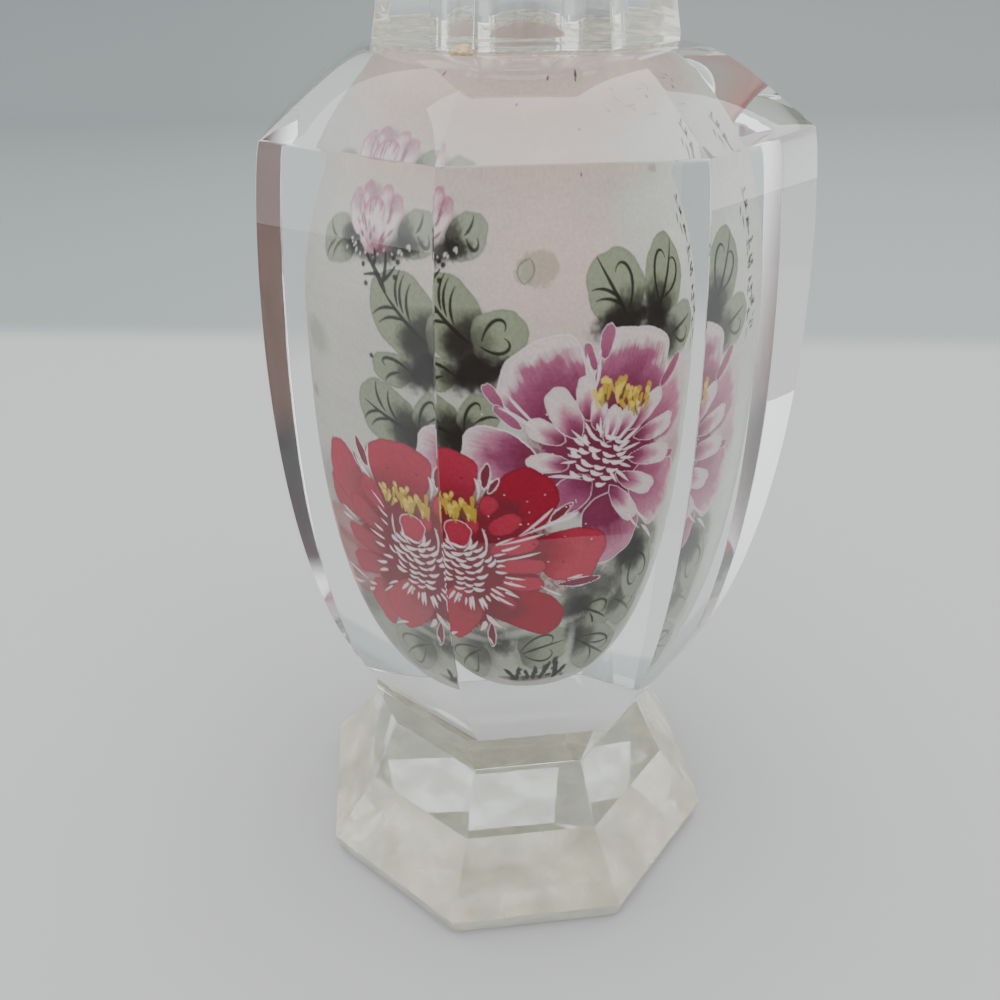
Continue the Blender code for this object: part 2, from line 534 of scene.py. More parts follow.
def shift_facets(piece, out):
    """Move the upright edges of a faceted block so that each facet stands out by its own small length."""
    count = len(out)
    turn = math.tau / count
    for k in range(count):
        here = (math.sin(k * turn), -math.cos(k * turn))
        there = (math.sin((k + 1) * turn), -math.cos((k + 1) * turn))
        first = out[k]
        second = out[(k + 1) % count]
        size = here[0] * there[1] - here[1] * there[0]
        across = (first * there[1] - second * here[1]) / size
        along = (second * here[0] - first * there[0]) / size
        bpy.ops.object.mode_set(mode="EDIT")
        bpy.ops.mesh.select_all(action="DESELECT")
        bpy.ops.object.mode_set(mode="OBJECT")
        for vertex in piece.data.vertices:
            place = math.atan2(vertex.co.x, -vertex.co.y) / turn - 0.5 - k
            off = abs(place - count * round(place / count))
            vertex.select = off < 0.25 and math.hypot(vertex.co.x, vertex.co.y) > MM
        bpy.ops.object.mode_set(mode="EDIT")
        bpy.ops.transform.translate(value=(across, along, 0.0))
        bpy.ops.object.mode_set(mode="OBJECT")


def choose(piece):
    """Select one piece alone, and make it active."""
    bpy.ops.object.select_all(action="DESELECT")
    bpy.context.view_layer.objects.active = piece
    piece.select_set(True)


def apply_modifier(piece, modifier):
    """Apply one modifier of a piece."""
    choose(piece)
    bpy.ops.object.modifier_apply(modifier=modifier.name)


def pick_edges(piece, wanted):
    """Edit a piece with those of its edges selected whose ends are both wanted."""
    bpy.ops.object.mode_set(mode="EDIT")
    bpy.ops.mesh.select_mode(type="EDGE")
    bpy.ops.mesh.select_all(action="DESELECT")
    bpy.ops.object.mode_set(mode="OBJECT")
    for edge in piece.data.edges:
        edge.select = all(wanted(piece.data.vertices[i].co) for i in edge.vertices)
    bpy.ops.object.mode_set(mode="EDIT")


def ease_edges(piece):
    """Take a fine bevel off every cut edge."""
    bevel = piece.modifiers.new("edges", "BEVEL")
    bevel.width = bpy.context.scene.vase_glass.edge
    bevel.segments = 2
    bevel.limit_method = "ANGLE"
    bevel.angle_limit = BEVEL_ANGLE
    bevel.use_clamp_overlap = True
    apply_modifier(piece, bevel)


def drill(piece, points, centre):
    """Cut a turned profile out of a block of glass."""
    cutter = draw_profile("cutter", points, 0.0, centre)
    turn_profile(DRILL_STEPS, centre)
    cut = piece.modifiers.new("hollow", "BOOLEAN")
    cut.operation = "DIFFERENCE"
    cut.solver = "EXACT"
    cut.object = cutter
    apply_modifier(piece, cut)
    bpy.data.objects.remove(cutter)


def smooth(piece):
    """Smooth shading over the blunt edges of a curve, and sharp shading over cut edges."""
    choose(piece)
    bpy.ops.object.shade_smooth_by_angle(angle=SMOOTH_ANGLE)


def glass(name, tint, ripple, haze):
    """Clear polished glass with a thin haze, whose facets ripple slightly from polishing by hand."""
    finish = Finish(name)
    finish.clear(tint, bpy.context.scene.vase_glass.ior)
    finish.surface(Normal=finish.bump(finish.noise(RIPPLES, 1.0), 1.0, ripple))
    veil = finish.blend(0.4, finish.film("Translucent", HAZE), finish.film("Diffuse", HAZE))
    return finish.cover(finish.noise(DUST, 3.0) * haze + 0.5 * haze, veil)


def ground_glass(name, milk, stained, look, least, vary):
    """Glass ground to a milky finish in soft patches, from least to least + vary of it."""
    finish = Finish(name)
    finish.clear(look.foot_tint, look.ior)
    patches = finish.fade(finish.noise(STAINS, 3.0), 0.3, 0.7)
    film = finish.blend(patches, finish.film("Diffuse", milk), finish.film("Diffuse", stained))
    return finish.cover(finish.fade(finish.noise(MILK, 3.0), 0.36, 0.66) * vary + least, film)


def dried_glue(name, look, tint, least, most):
    """Clear glue that has clouded in patches, from least to most."""
    finish = Finish(name)
    finish.clear(tint, look.glue_ior)
    cream = look.glue_cream
    cloud = finish.blend(0.35, finish.film("Translucent", cream), finish.film("Diffuse", cream))
    patches = finish.fade(finish.noise(CLOUDS, 4.0), 0.42, 0.68)
    return finish.cover(patches * (most - least) + least, cloud)


def glue_drop(look):
    """A thick drop of ochre glue."""
    finish = Finish("drop of glue")
    shaded = opaque([0.55 * part for part in look.drop_tint])
    finish.surface(
        Base_Color=finish.mix(finish.noise(DROP_BLOTCHES, 3.0), opaque(look.drop_tint), shaded),
        Roughness=0.25,
        Normal=finish.bump(finish.noise(DROP_PITS, 2.0), 0.6, 0.00008),
    )
    return finish.material


def paint_film(look, glow):
    """Matt, mottled paint that lets light through where it is thin, and glows at the crown with painted
    light.
    """
    finish = Finish("paint and ground")
    paint = finish.node("ShaderNodeAttribute", {"attribute_name": "paint"})
    thin = finish.node("ShaderNodeAttribute", {"attribute_name": "paint"}, output="Alpha")
    # Painted light: above the crown's rise the paint glows in its own colour.
    crown = finish.fade(finish.part(finish.object_place(), 2), *look.crown_rise)
    finish.surface(
        Base_Color=finish.mix((finish.noise(MOTTLE, 3.0) - 0.5) * 0.4 + 0.1, paint, opaque(SOOT)),
        Roughness=1.0,
        Specular_IOR_Level=0.0,
        Emission_Color=finish.mix(crown, BLACK, paint),
        Emission_Strength=look.crown_painted_glow,
    )
    return finish.cover(thin * GLOW_SHARE, finish.film("Translucent", glow))


def hand_over(piece, material, slot, *nodes):
    """Give a piece its finish, its body and the model's parts that it stands for."""
    piece.data.materials.clear()
    piece.data.materials.append(material)
    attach(piece, "root")
    if nodes:
        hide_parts(*nodes)


def hollow_points(body, outside, rows):
    """The hollow's profile from its pole up to the bore, moved outwards, in even steps along its length."""
    radius = body.hollow + outside
    crown = body.hollow_crown + outside
    depth = body.hollow_widest - body.hollow_bottom + outside
    power = 2 / body.hollow_bluntness
    bore = body.bore + outside
    widest = body.hollow_widest
    fine = []
    for step in range(CURVE_STEPS):
        angle = math.pi / 2 * (1 - step / CURVE_STEPS)
        fine.append((radius * math.cos(angle) ** power, widest - depth * math.sin(angle) ** power))
    fine[0] = (0.0, widest - depth)
    start = math.asin(bore / radius)
    for step in range(CURVE_STEPS + 1):
        angle = math.pi / 2 + (start - math.pi / 2) * step / CURVE_STEPS
        fine.append((radius * math.sin(angle), widest + crown * math.cos(angle)))
    fine.append((bore, BODY_HIGH.z))
    fine = np.array(fine)
    along = np.concatenate([[0.0], np.cumsum(np.hypot(*np.diff(fine, axis=0).T))])
    count = max(2, round(along[-1] / rows))
    places = np.linspace(0.0, along[-1], count + 1)
    return [(float(np.interp(p, along, fine[:, 0])), float(np.interp(p, along, fine[:, 1]))) for p in places]


def ease(x):
    """A smooth step from 0 to 1."""
    x = np.clip(x, 0.0, 1.0)
    return x * x * (3 - 2 * x)


def grain(s, z, size, seed, stretch=1.0):
    """Smooth noise between -1 and 1 in patches about size across, drawn out along s by stretch."""
    lattice = np.random.default_rng(seed).uniform(-1.0, 1.0, (61, 67))
    u = s / (size * stretch) + 500
    v = z / size + 500
    i = np.floor(u).astype(int)
    j = np.floor(v).astype(int)
    fu = ease(u - i)
    fv = ease(v - j)
    near = lattice[i % 61, j % 67] * (1 - fu) + lattice[(i + 1) % 61, j % 67] * fu
    far = lattice[i % 61, (j + 1) % 67] * (1 - fu) + lattice[(i + 1) % 61, (j + 1) % 67] * fu
    return near * (1 - fv) + far * fv


class Picture:
    """Colours laid in turn on points of the hollow's wall, s millimetres round it and z up it."""

    def __init__(self, s, z, paints):
        self.s = s
        self.z = z
        self.paints = paints
        self.colour = np.zeros((len(s), 3))

    def near(self, centre, reach):
        """The points within reach of a place."""
        return np.flatnonzero((np.abs(self.s - centre[0]) < reach) & (np.abs(self.z - centre[1]) < reach))

    def local(self, here, centre, turn):
        """Distances of points along and across a direction, from a place."""
        c = math.cos(math.radians(turn))
        k = math.sin(math.radians(turn))
        ds = self.s[here] - centre[0]
        dz = self.z[here] - centre[1]
        return ds * c + dz * k, dz * c - ds * k

    def shades(self, stops, place):
        """Colours at places between (place, paint) stops."""
        places = [at for at, name in stops]
        paints = [self.paints[name] for at, name in stops]
        return np.stack([np.interp(place, places, [paint[k] for paint in paints]) for k in range(3)], axis=1)

    def lay(self, here, cover, tone):
        """Lay a tone over points, as strongly as cover says."""
        self.colour[here] += (np.asarray(tone) - self.colour[here]) * cover[:, None]

    def wash(self, centre, size, name, strength, softness, turn, seed):
        """A soft-edged patch of thin paint."""
        here = self.near(centre, max(size) * (1.2 + softness))
        along, across = self.local(here, centre, turn)
        ragged = 0.16 * grain(self.s[here], self.z[here], 0.3 * min(size), seed)
        ragged += 0.06 * grain(self.s[here], self.z[here], 0.3, seed + 1)
        far = np.hypot(along / size[0], across / size[1]) + ragged
        self.lay(here, strength * ease((1 + softness - far) / (2 * softness)), self.paints[name])

    def dots(self, places, size, name, strength, softness):
        """Small dabs of one size."""
        for place in places:
            self.wash(place, size, name, strength, softness, 0.0, 2)

    def petal(self, centre, size, turn, stops, taper=0.2, blunt=2.3, wave=0.035, soft=0.16, **more):
        """A petal with its base at one end, shaded from the base to the rim."""
        side = more.get("side", 0.5)
        strength = more.get("strength", 1.0)
        seed = more.get("seed", round(10 * abs(centre[0]) + 7 * centre[1]))
        here = self.near(centre, 1.5 * max(size) + 2 * soft)
        along, across = self.local(here, centre, turn)
        p = along / size[0]
        q = across / (size[1] * np.clip(1 + taper * p, 0.3, 2.0))
        swirl = np.arctan2(q, p)
        reach = (np.abs(p) ** blunt + np.abs(q) ** blunt) ** (1 / blunt) + 1e-6
        ripple = np.sin(3 * swirl + seed) + 0.7 * np.sin(5 * swirl + 2 * seed)
        rim = 1 + wave * (ripple + 0.4 * np.sin(9 * swirl + seed))
        out = np.hypot(along, across) * (1 - rim / reach)
        out += 0.05 * grain(self.s[here], self.z[here], 0.35, seed)
        if "gap" in more:
            line = self.paints[more.get("line", "rose_white")]
            self.lay(here, strength * ease(0.5 - (out - more["gap"]) / 0.2), line)
        inside = np.clip(reach / rim, 0.0, 1.0)
        lean = p / np.hypot(p, q).clip(1e-6)
        place = 0.5 + 0.5 * inside * (lean + side * (1 - lean**2))
        place += 0.05 * grain(self.s[here], self.z[here], 1.1, seed + 5)
        place += 0.035 * grain(across * 2.2, along * 0.3, 0.6, seed + 9)
        tone = self.shades(stops, place)
        tone *= (1 + 0.07 * grain(self.s[here], self.z[here], 0.28, seed + 3))[:, None]
        tone *= (1 - more.get("edge", 0.12) * np.exp(-((out / 0.22) ** 2)))[:, None]
        self.lay(here, strength * ease(0.5 - out / soft), tone)

    def stroke(self, points, width, name, strength=1.0, start=0.35, end=0.1, soft=0.12):
        """A brush line along a Bezier curve of three or four points, thin at its ends."""
        points = np.array(points, float)
        if len(points) == 2:
            points = np.array([points[0], points.mean(0), points[1]])
        t = np.linspace(0.0, 1.0, 13)
        if len(points) == 3:
            weights = np.stack([(1 - t) ** 2, 2 * t * (1 - t), t**2], 1)
        else:
            weights = np.stack([(1 - t) ** 3, 3 * t * (1 - t) ** 2, 3 * t**2 * (1 - t), t**3], 1)
        line = weights @ points
        middle = (line.min(0) + line.max(0)) / 2
        here = self.near(middle, float(np.ptp(line, axis=0).max()) / 2 + width + 0.3)
        if not len(here):
            return
        place = np.stack([self.s[here], self.z[here]], 1)
        best = np.full(len(here), 1e9)
        for k in range(len(t) - 1):
            run = line[k + 1] - line[k]
            step = np.clip((place - line[k]) @ run / max(float(run @ run), 1e-9), 0.0, 1.0)
            far = np.linalg.norm(place - line[k] - step[:, None] * run, axis=1)
            at = (k + step) / (len(t) - 1)
            half = 0.5 * width * np.interp(at, [0.0, 0.25, 0.6, 1.0], [start, 1.0, 0.85, end])
            best = np.minimum(best, far - half)
        self.lay(here, strength * ease(0.5 - best / soft), self.paints[name])

    def strokes(self, rows, name, strength=0.85, start=0.2, end=0.1):
        """Brush lines from a table, each given as its points and then its width."""
        for *points, width in rows:
            self.stroke(np.reshape(points, (-1, 2)), width, name, strength, start, end)

    def leaf(self, centre, size, turn, dark, veins, seed, fade):
        """A leaf with a dark base, and brushed veins that curve away from its rib."""
        tone = "leaf_pale" if fade else "leaf"
        stops = [(0.0, "leaf_shade"), (0.35, tone), (1.0, tone)]
        edge = 0.22 - 0.1 * fade
        self.petal(centre, size, turn, stops, -0.05, 2.2, 0.03, 0.2 + fade, side=0.6, seed=seed, edge=edge)
        c = math.cos(math.radians(turn))
        k = math.sin(math.radians(turn))

        def at(p, q):
            along = p * size[0]
            across = q * size[1]
            return (centre[0] + along * c - across * k, centre[1] + along * k + across * c)

        self.wash(at(-0.72, 0.0), (0.52 * size[0], 0.75 * size[1]), "ink", dark, 0.45, turn, seed)
        for kind, place, reach, side in veins:
            ink = ("ink", 0.95 - fade, 0.35, 0.25, 0.12 + 0.5 * fade)
            if kind == "rib":
                self.stroke([at(-0.85, 0), at(0.0, side * 0.12), at(reach, place)], 0.52, *ink)
            elif kind == "vein":
                path = ((0.0, 0.06), (0.9, 0.3), (1.0, 0.78))
                self.stroke([at(place + far * reach, side * off) for far, off in path], 0.44, *ink)
            else:
                path = ((0.0, 0.1), (0.5, 1.0), (1.0, 0.5), (0.72, 0.12))
                self.stroke([at(place + far * reach, side * off) for far, off in path], 0.46, *ink)


RED_PETALS = (
    (-28.6, 62.0, 7.0, 3.4, 190, "faded", {"soft": 1.6, "strength": 0.75}),
    (-28.6, 66.2, 6.4, 2.8, 178, "faded", {"soft": 1.5, "strength": 0.7}),
    (-26.2, 58.2, 6.6, 2.1, 196, "faded", {"soft": 0.9, "strength": 0.7}),
    (-26.4, 71.6, 4.6, 2.4, 170, "dusty", {"soft": 0.9, "strength": 0.85}),
    (-24.6, 75.0, 5.6, 3.8, 148, "dusty", {"soft": 0.5}),
    (-14.3, 78.8, 4.3, 5.2, 90, "top", {"blunt": 2.6, "taper": 0.1}),
    (-3.4, 76.2, 4.8, 4.3, 38, "deep", {"blunt": 2.5, "taper": 0.1}),
    (3.9, 68.0, 5.0, 4.1, 350, "bright", {"blunt": 2.5, "taper": 0.12}),
    (-2.4, 59.0, 6.2, 3.4, 342, "deep", {"blunt": 2.6, "taper": 0.1}),
    (-21.3, 56.6, 4.4, 3.2, 228, "dusty", {"soft": 0.25}),
    (-14.6, 58.4, 5.8, 3.6, 218, "dusty", {"blunt": 2.5}),
    (-23.0, 62.2, 5.2, 1.7, 195, "dusty", {"soft": 0.7, "strength": 0.8}),
    (-22.4, 66.2, 4.6, 1.6, 178, "dusty", {"soft": 0.7, "strength": 0.8}),
    (-21.4, 70.6, 3.8, 1.7, 160, "dusty", {"soft": 0.5, "strength": 0.8}),
    (-19.4, 74.4, 2.8, 1.6, 140, "inner", {"soft": 0.35, "strength": 0.7}),
    (-7.7, 75.7, 1.5, 1.15, 60, "inner"), (-5.6, 73.0, 2.4, 1.35, 25, "inner"),
    (-10.1, 72.7, 1.3, 0.9, 95, "inner"), (-4.3, 69.8, 3.5, 1.3, 14, "inner"),
    (-3.3, 66.6, 3.5, 1.15, 0, "inner"), (-3.2, 63.8, 3.2, 1.15, 356, "inner"),
    (-6.2, 61.4, 2.6, 0.9, 320, "inner", {"strength": 0.5}),
    (-13.0, 60.8, 2.3, 1.2, 262, "inner", {"strength": 0.45}),
    (-12.5, 71.2, 1.9, 2.0, 90, "inner", {"blunt": 2.6, "gap": 0.09, "line": "rose_white"}),
)
RED_SHADES = {
    "faded": ((0.0, "dusty_red"), (0.5, "faded_red")),
    "dusty": ((0.0, "plum"), (0.45, "dusty_red"), (1.0, "light_red")),
    "top": ((0.0, "plum"), (0.35, "red"), (1.0, "light_red")),
    "deep": ((0.0, "plum"), (0.42, "plum"), (0.6, "crimson")),
    "bright": ((0.0, "plum"), (0.3, "crimson"), (0.6, "light_red")),
    "inner": ((0.0, "red"), (0.4, "light_red")),
}
RED_SPIKES = (
    (-20.9, 79.9, 2.1, 0.75, 118), (-21.9, 78.4, 1.3, 0.45, 140), (-7.9, 79.9, 1.7, 0.6, 80),
    (-6.9, 78.6, 1.2, 0.4, 55), (2.0, 74.6, 1.9, 0.55, 40), (5.8, 63.4, 3.4, 0.6, 2),
    (-8.9, 54.4, 2.3, 0.7, 262),
)
MAGENTA_PETALS = (
    (20.4, 84.6, 8.0, 3.2, 92, "haze", {"soft": 1.3, "strength": 0.8}),
    (18.3, 86.0, 4.6, 3.6, 40, "side", {"soft": 0.8}),
    (17.2, 75.6, 5.6, 4.3, 322, "side", {"soft": 0.25, "gap": 0.11}),
    (-6.2, 82.6, 4.9, 3.4, 172, "wing", {"gap": 0.17, "taper": 0.25}),
    (0.0, 91.2, 5.6, 5.2, 118, "dome", {"gap": 0.14, "blunt": 2.5}),
    (11.3, 91.8, 5.3, 5.6, 74, "dome", {"gap": 0.14, "blunt": 2.7}),
    (9.4, 71.4, 5.2, 4.4, 292, "lower", {"gap": 0.11, "blunt": 2.5}),
    (3.4, 77.2, 3.0, 2.4, 215, "purple", {"gap": 0.11}), (-6.6, 90.2, 1.9, 0.7, 128, "spike", {"gap": 0.08}),
    (-4.9, 87.6, 2.2, 0.6, 140, "spike", {"gap": 0.08}), (5.1, 94.6, 1.8, 0.6, 112, "spike", {"gap": 0.08}),
    (7.2, 96.2, 2.0, 0.85, 78, "spike", {"gap": 0.08}),
    (18.2, 90.8, 2.6, 0.8, 38, "spike", {"gap": 0.08, "soft": 0.3}),
    (19.0, 79.6, 2.6, 0.5, 350, "spike", {"gap": 0.11, "soft": 0.3}),
    (0.2, 81.6, 2.7, 1.2, 172, "tipped", {"gap": 0.09}),
    (-0.2, 85.6, 2.6, 1.25, 150, "tipped", {"gap": 0.09}),
    (2.2, 87.8, 3.6, 1.7, 120, "tipped", {"gap": 0.1}), (4.8, 89.6, 2.8, 1.2, 96, "tipped", {"gap": 0.08}),
    (6.4, 87.6, 2.0, 1.0, 82, "tipped", {"gap": 0.06}), (16.0, 83.9, 3.8, 1.25, 6, "tipped", {"gap": 0.09}),
    (15.6, 80.4, 4.2, 1.3, 352, "tipped", {"gap": 0.09}),
    (13.2, 77.2, 3.9, 1.25, 336, "tipped", {"gap": 0.1}),
    (11.2, 74.6, 3.6, 1.25, 312, "tipped", {"gap": 0.1}),
    (13.6, 86.8, 3.4, 1.3, 34, "tipped", {"gap": 0.08}), (10.6, 86.0, 2.6, 1.2, 56, "tipped", {"gap": 0.07}),
    (8.4, 85.8, 2.3, 1.2, 76, "tipped", {"gap": 0.07}),
)
MAGENTA_SHADES = {
    "haze": ((0.0, "lilac"), (1.0, "rim")),
    "side": ((0.0, "magenta"), (0.5, "rose"), (0.8, "lilac"), (1.0, "rim")),
    "wing": ((0.0, "wine"), (0.3, "deep_magenta"), (0.55, "magenta"), (0.8, "lilac"), (1.0, "rim")),
    "dome": ((0.0, "wine"), (0.35, "deep_magenta"), (0.6, "magenta"), (0.78, "rose"), (0.9, "rim")),
    "lower": ((0.0, "deep_magenta"), (0.5, "deep_magenta"), (0.75, "rose"), (1.0, "lilac")),
    "purple": ((0.0, "deep_magenta"), (0.5, "violet"), (1.0, "rose")),
    "spike": ((0.0, "magenta"), (1.0, "rose")),
    "tipped": ((0.0, "wine"), (0.3, "magenta"), (0.55, "lilac"), (0.75, "rim")),
}
LEAVES = (
    (-24.9, 105.4, 4.0, 2.7, 188, 0.7, 0.15, ("vein", -0.2, 0.5, 1), ("vein", 0.1, 0.5, -1),
     ("vein", 0.2, 0.5, 1)),
    (-10.8, 107.5, 3.0, 2.4, 8, 0.75, 0.1, ("vein", -0.1, 0.4, 1), ("hook", 0.0, 0.7, -1)),
    (-12.9, 99.2, 5.2, 4.3, 141, 0.85, 0.0, ("rib", 0.0, 0.85, 1), ("vein", -0.3, 0.5, -1),
     ("vein", -0.05, 0.5, -1), ("vein", 0.15, 0.45, -1), ("vein", -0.2, 0.5, 1), ("vein", 0.15, 0.4, 1)),
    (-5.9, 97.3, 3.5, 3.1, 22, 0.5, 0.0, ("hook", -0.6, 1.2, 1), ("hook", -0.7, 1.2, -1)),
    (-14.4, 92.4, 3.1, 2.1, 178, 0.75, 0.0, ("hook", -0.9, 1.7, -1), ("vein", -0.4, 0.7, 1)),
    (-15.8, 86.6, 4.7, 3.9, 158, 0.9, 0.0, ("rib", 0.1, 0.75, 1), ("vein", -0.4, 0.5, -1),
     ("vein", 0.0, 0.55, -1), ("vein", -0.3, 0.6, 1), ("vein", 0.1, 0.5, 1)),
    (-8.6, 87.6, 3.0, 2.6, 52, 0.8, 0.0, ("hook", -0.9, 1.7, 1), ("vein", -0.3, 0.8, -1)),
    (8.7, 102.0, 4.2, 4.1, 112, 0.85, 0.0, ("rib", 0.25, 0.95, 1), ("hook", -0.7, 1.5, -1),
     ("vein", -0.3, 0.6, 1), ("vein", -0.5, 0.5, 1)),
    (17.0, 102.3, 4.3, 3.9, 62, 0.8, 0.0, ("rib", -0.1, 0.95, -1), ("hook", -0.7, 1.5, 1),
     ("hook", -0.6, 1.4, -1)),
    (20.4, 95.6, 3.7, 3.2, 8, 0.6, 0.15, ("rib", 0.2, 0.7, 1), ("hook", -0.5, 1.2, -1)),
    (9.6, 57.2, 4.4, 4.2, 335, 0.9, 0.0, ("rib", 0.0, 0.7, 1), ("hook", -0.6, 1.2, 1),
     ("vein", -0.2, 0.6, -1)),
    (16.6, 57.0, 4.2, 3.4, 330, 0.7, 0.3, ("rib", 0.0, 0.7, 1), ("hook", -0.4, 1.0, 1)),
    (17.4, 62.6, 4.8, 3.6, 300, 0.8, 0.12, ("hook", -0.8, 1.5, 1), ("hook", -0.7, 1.3, -1)),
    (12.6, 50.2, 7.6, 4.2, 334, 0.8, 0.12, ("rib", 0.1, 0.8, -1), ("hook", -0.7, 1.5, 1),
     ("vein", -0.3, 0.7, 1), ("vein", -0.2, 0.6, -1)),
    (-17.0, 49.0, 6.4, 4.4, 205, 0.6, 0.2, ("hook", -0.8, 1.6, -1), ("rib", 0.1, 0.8, -1),
     ("hook", -0.6, 1.4, 1)),
    (0.9, 51.6, 5.2, 4.4, 12, 0.35, 0.0, ("rib", 0.1, 0.8, 1), ("hook", -0.9, 1.6, 1),
     ("hook", -0.8, 1.4, -1)),
)


def paint_ground(picture):
    """The milky ground, cooler to the left, paler to the right, and blushed under the neck."""
    s = picture.s
    z = picture.z
    picture.colour[:] = picture.shades(((4.0, "ground"), (20.0, "ground_pale")), s)
    picture.wash((0.6, 106.0), (9.0, 11.0), "blush", 0.95, 0.7, 0.0, 3)
    picture.wash((-14.0, 113.0), (9.0, 6.0), "blush", 0.45, 0.7, 0.0, 4)
    picture.wash((-31.0, 72.5), (7.0, 3.6), "grey_wash", 0.5, 0.6, 20.0, 6)
    # Painted glare: a tall pale band low on the right, partly the ground's own paleness.
    picture.wash((27.0, 68.0), (4.0, 14.0), "ground_bright_and_glare", 0.8, 0.7, 0.0, 8)
    picture.wash((-39.6, 58.5), (6.4, 11.0), "salmon", 0.85, 0.6, 8.0, 9)
    picture.wash((-38.4, 58.0), (1.3, 9.0), "light_red", 0.75, 0.7, 4.0, 10)
    # Painted light: the crown is laid over with paler paint against the shade under the neck.
    crown = ease((z - 110.2) / 4.0)
    picture.lay(np.arange(len(z)), 0.8 * crown, picture.paints["crown"])
    streaks = 0.03 * grain(s, z, 0.7, 11, 7.0) + 0.02 * grain(s, z, 2.6, 12, 2.0)
    picture.colour *= (1 + streaks)[:, None]


def paint_washes(picture):
    """Grey-green washes and ink behind the flowers."""
    for s, z, long, wide, turn, name, strength, softness in (
        (21.4, 79.4, 2.4, 2.6, 60.0, "grey_wash", 0.6, 0.5),
        (16.6, 69.0, 4.6, 2.4, 318.0, "charcoal", 0.8, 0.5),
        (16.0, 62.0, 8.5, 5.6, 90.0, "leaf_pale", 0.75, 0.3),
        (14.6, 65.4, 3.8, 5.8, 30.0, "charcoal", 0.85, 0.4),
        (5.6, 60.4, 3.4, 3.2, 0.0, "charcoal", 0.95, 0.35),
        (0.0, 53.0, 22.0, 8.0, 0.0, "leaf_light", 0.9, 0.25),
        (-22.0, 51.0, 14.0, 6.6, 0.0, "leaf_pale", 0.8, 0.35),
        (-27.5, 54.6, 7.0, 2.4, 24.0, "charcoal", 0.5, 0.6),
        (-28.5, 70.0, 2.4, 1.6, 0.0, "charcoal", 0.4, 0.6),
        (-13.6, 53.4, 6.4, 1.5, 12.0, "charcoal", 0.75, 0.5), (-7.4, 52.6, 2.2, 2.4, 290.0, "ink", 0.8, 0.5),
        (7.2, 54.2, 2.6, 1.6, 320.0, "charcoal", 0.8, 0.5), (-8.6, 93.0, 3.9, 2.4, 20.0, "ink", 0.95, 0.35),
        (-11.4, 96.0, 2.6, 2.0, 320.0, "charcoal", 0.8, 0.45),
        (-11.6, 84.2, 2.6, 1.9, 340.0, "ink", 0.95, 0.35), (10.0, 98.4, 3.0, 1.9, 10.0, "ink", 0.95, 0.3),
        (14.8, 97.6, 2.6, 2.4, 100.0, "ink", 0.9, 0.35),
        (17.0, 94.2, 2.0, 2.6, 100.0, "charcoal", 0.8, 0.45),
    ):
        picture.wash((s, z), (long, wide), name, strength, softness, turn, round(z))


def paint_gaps(picture):
    """Pale ground that is left between the leaves and the flowers."""
    for centre, size, turn in (
        ((-0.6, 55.6), (6.2, 0.7), 12.0), ((6.4, 50.6), (0.7, 4.2), 8.0), ((-16.0, 54.4), (6.0, 0.6), 350.0),
    ):
        picture.wash(centre, size, "ground_pale", 0.5, 0.8, turn, 14)


def paint_leaves(picture):
    """The leaves over the washes, and the ink at their feet."""
    for place, (s, z, long, wide, turn, dark, fade, *veins) in enumerate(LEAVES):
        picture.leaf((s, z), (long, wide), turn, dark, veins, 30 + place, fade)
    for s, z, long, wide, turn, name, strength in (
        (13.4, 67.4, 4.2, 2.4, 322.0, "ink", 0.9), (9.4, 62.6, 3.6, 2.2, 320.0, "charcoal", 0.9),
        (5.2, 58.8, 2.2, 2.8, 300.0, "ink", 0.85), (6.6, 53.6, 2.2, 1.6, 320.0, "ink", 0.75),
        (-8.2, 53.4, 1.7, 2.6, 290.0, "ink", 0.75), (-3.8, 54.6, 2.6, 1.5, 340.0, "charcoal", 0.7),
        (-8.6, 93.2, 3.2, 1.8, 16.0, "ink", 0.92), (-4.4, 93.4, 2.2, 1.6, 330.0, "ink", 0.85),
        (-10.9, 84.2, 2.4, 1.7, 340.0, "ink", 0.9), (-11.6, 96.2, 2.0, 1.6, 310.0, "ink", 0.7),
        (8.6, 98.0, 3.4, 1.7, 8.0, "ink", 0.92), (14.6, 97.9, 2.6, 1.8, 100.0, "ink", 0.88),
        (16.8, 94.9, 2.2, 1.6, 20.0, "charcoal", 0.85), (20.4, 73.0, 1.8, 1.6, 60.0, "charcoal", 0.3),
    ):
        picture.wash((s, z), (long, wide), name, strength, 0.42, turn, round(7 * z))


def paint_twig(picture):
    """A dark mossy twig under the flowers."""
    draw = np.random.default_rng(4)
    picture.stroke([(-11.0, 45.1), (-2.0, 44.3), (8.5, 45.2)], 1.7, "ink", 0.72, 0.2, 0.1, 0.9)
    for foot, top, width in (
        ((-6.4, 44.8), (-7.6, 46.6), 0.8), ((-5.6, 44.8), (-4.6, 47.0), 0.7),
        ((-2.4, 45.0), (-2.9, 46.6), 0.7), ((-0.8, 45.0), (-0.4, 46.9), 0.8),
        ((1.2, 45.0), (2.4, 47.6), 0.9), ((5.2, 45.0), (3.9, 48.6), 0.9), ((5.6, 45.0), (6.9, 46.6), 0.8),
    ):
        bend = ((foot[0] + top[0]) / 2 + draw.uniform(-0.4, 0.4), (foot[1] + top[1]) / 2)
        picture.stroke([foot, bend, top], 1.5 * width, "ink", 0.95, 0.9, 0.9, 0.3)
        for _ in range(7):
            t = draw.uniform(0.35, 1.15)
            spot = [foot[k] + t * (top[k] - foot[k]) + draw.uniform(-0.55, 0.55) for k in range(2)]
            size = draw.uniform(0.3, 0.62)
            picture.wash(spot, (size, 0.7 * size), "ink", 0.85, 0.4, draw.uniform(0, 180), 2)
    for _ in range(14):
        spot = (draw.uniform(-9.0, 8.0), 44.9 + draw.uniform(-0.5, 0.6))
        picture.wash(spot, (draw.uniform(0.4, 0.9), 0.35), "ink", 0.7, 0.5, draw.uniform(-20, 20), 3)


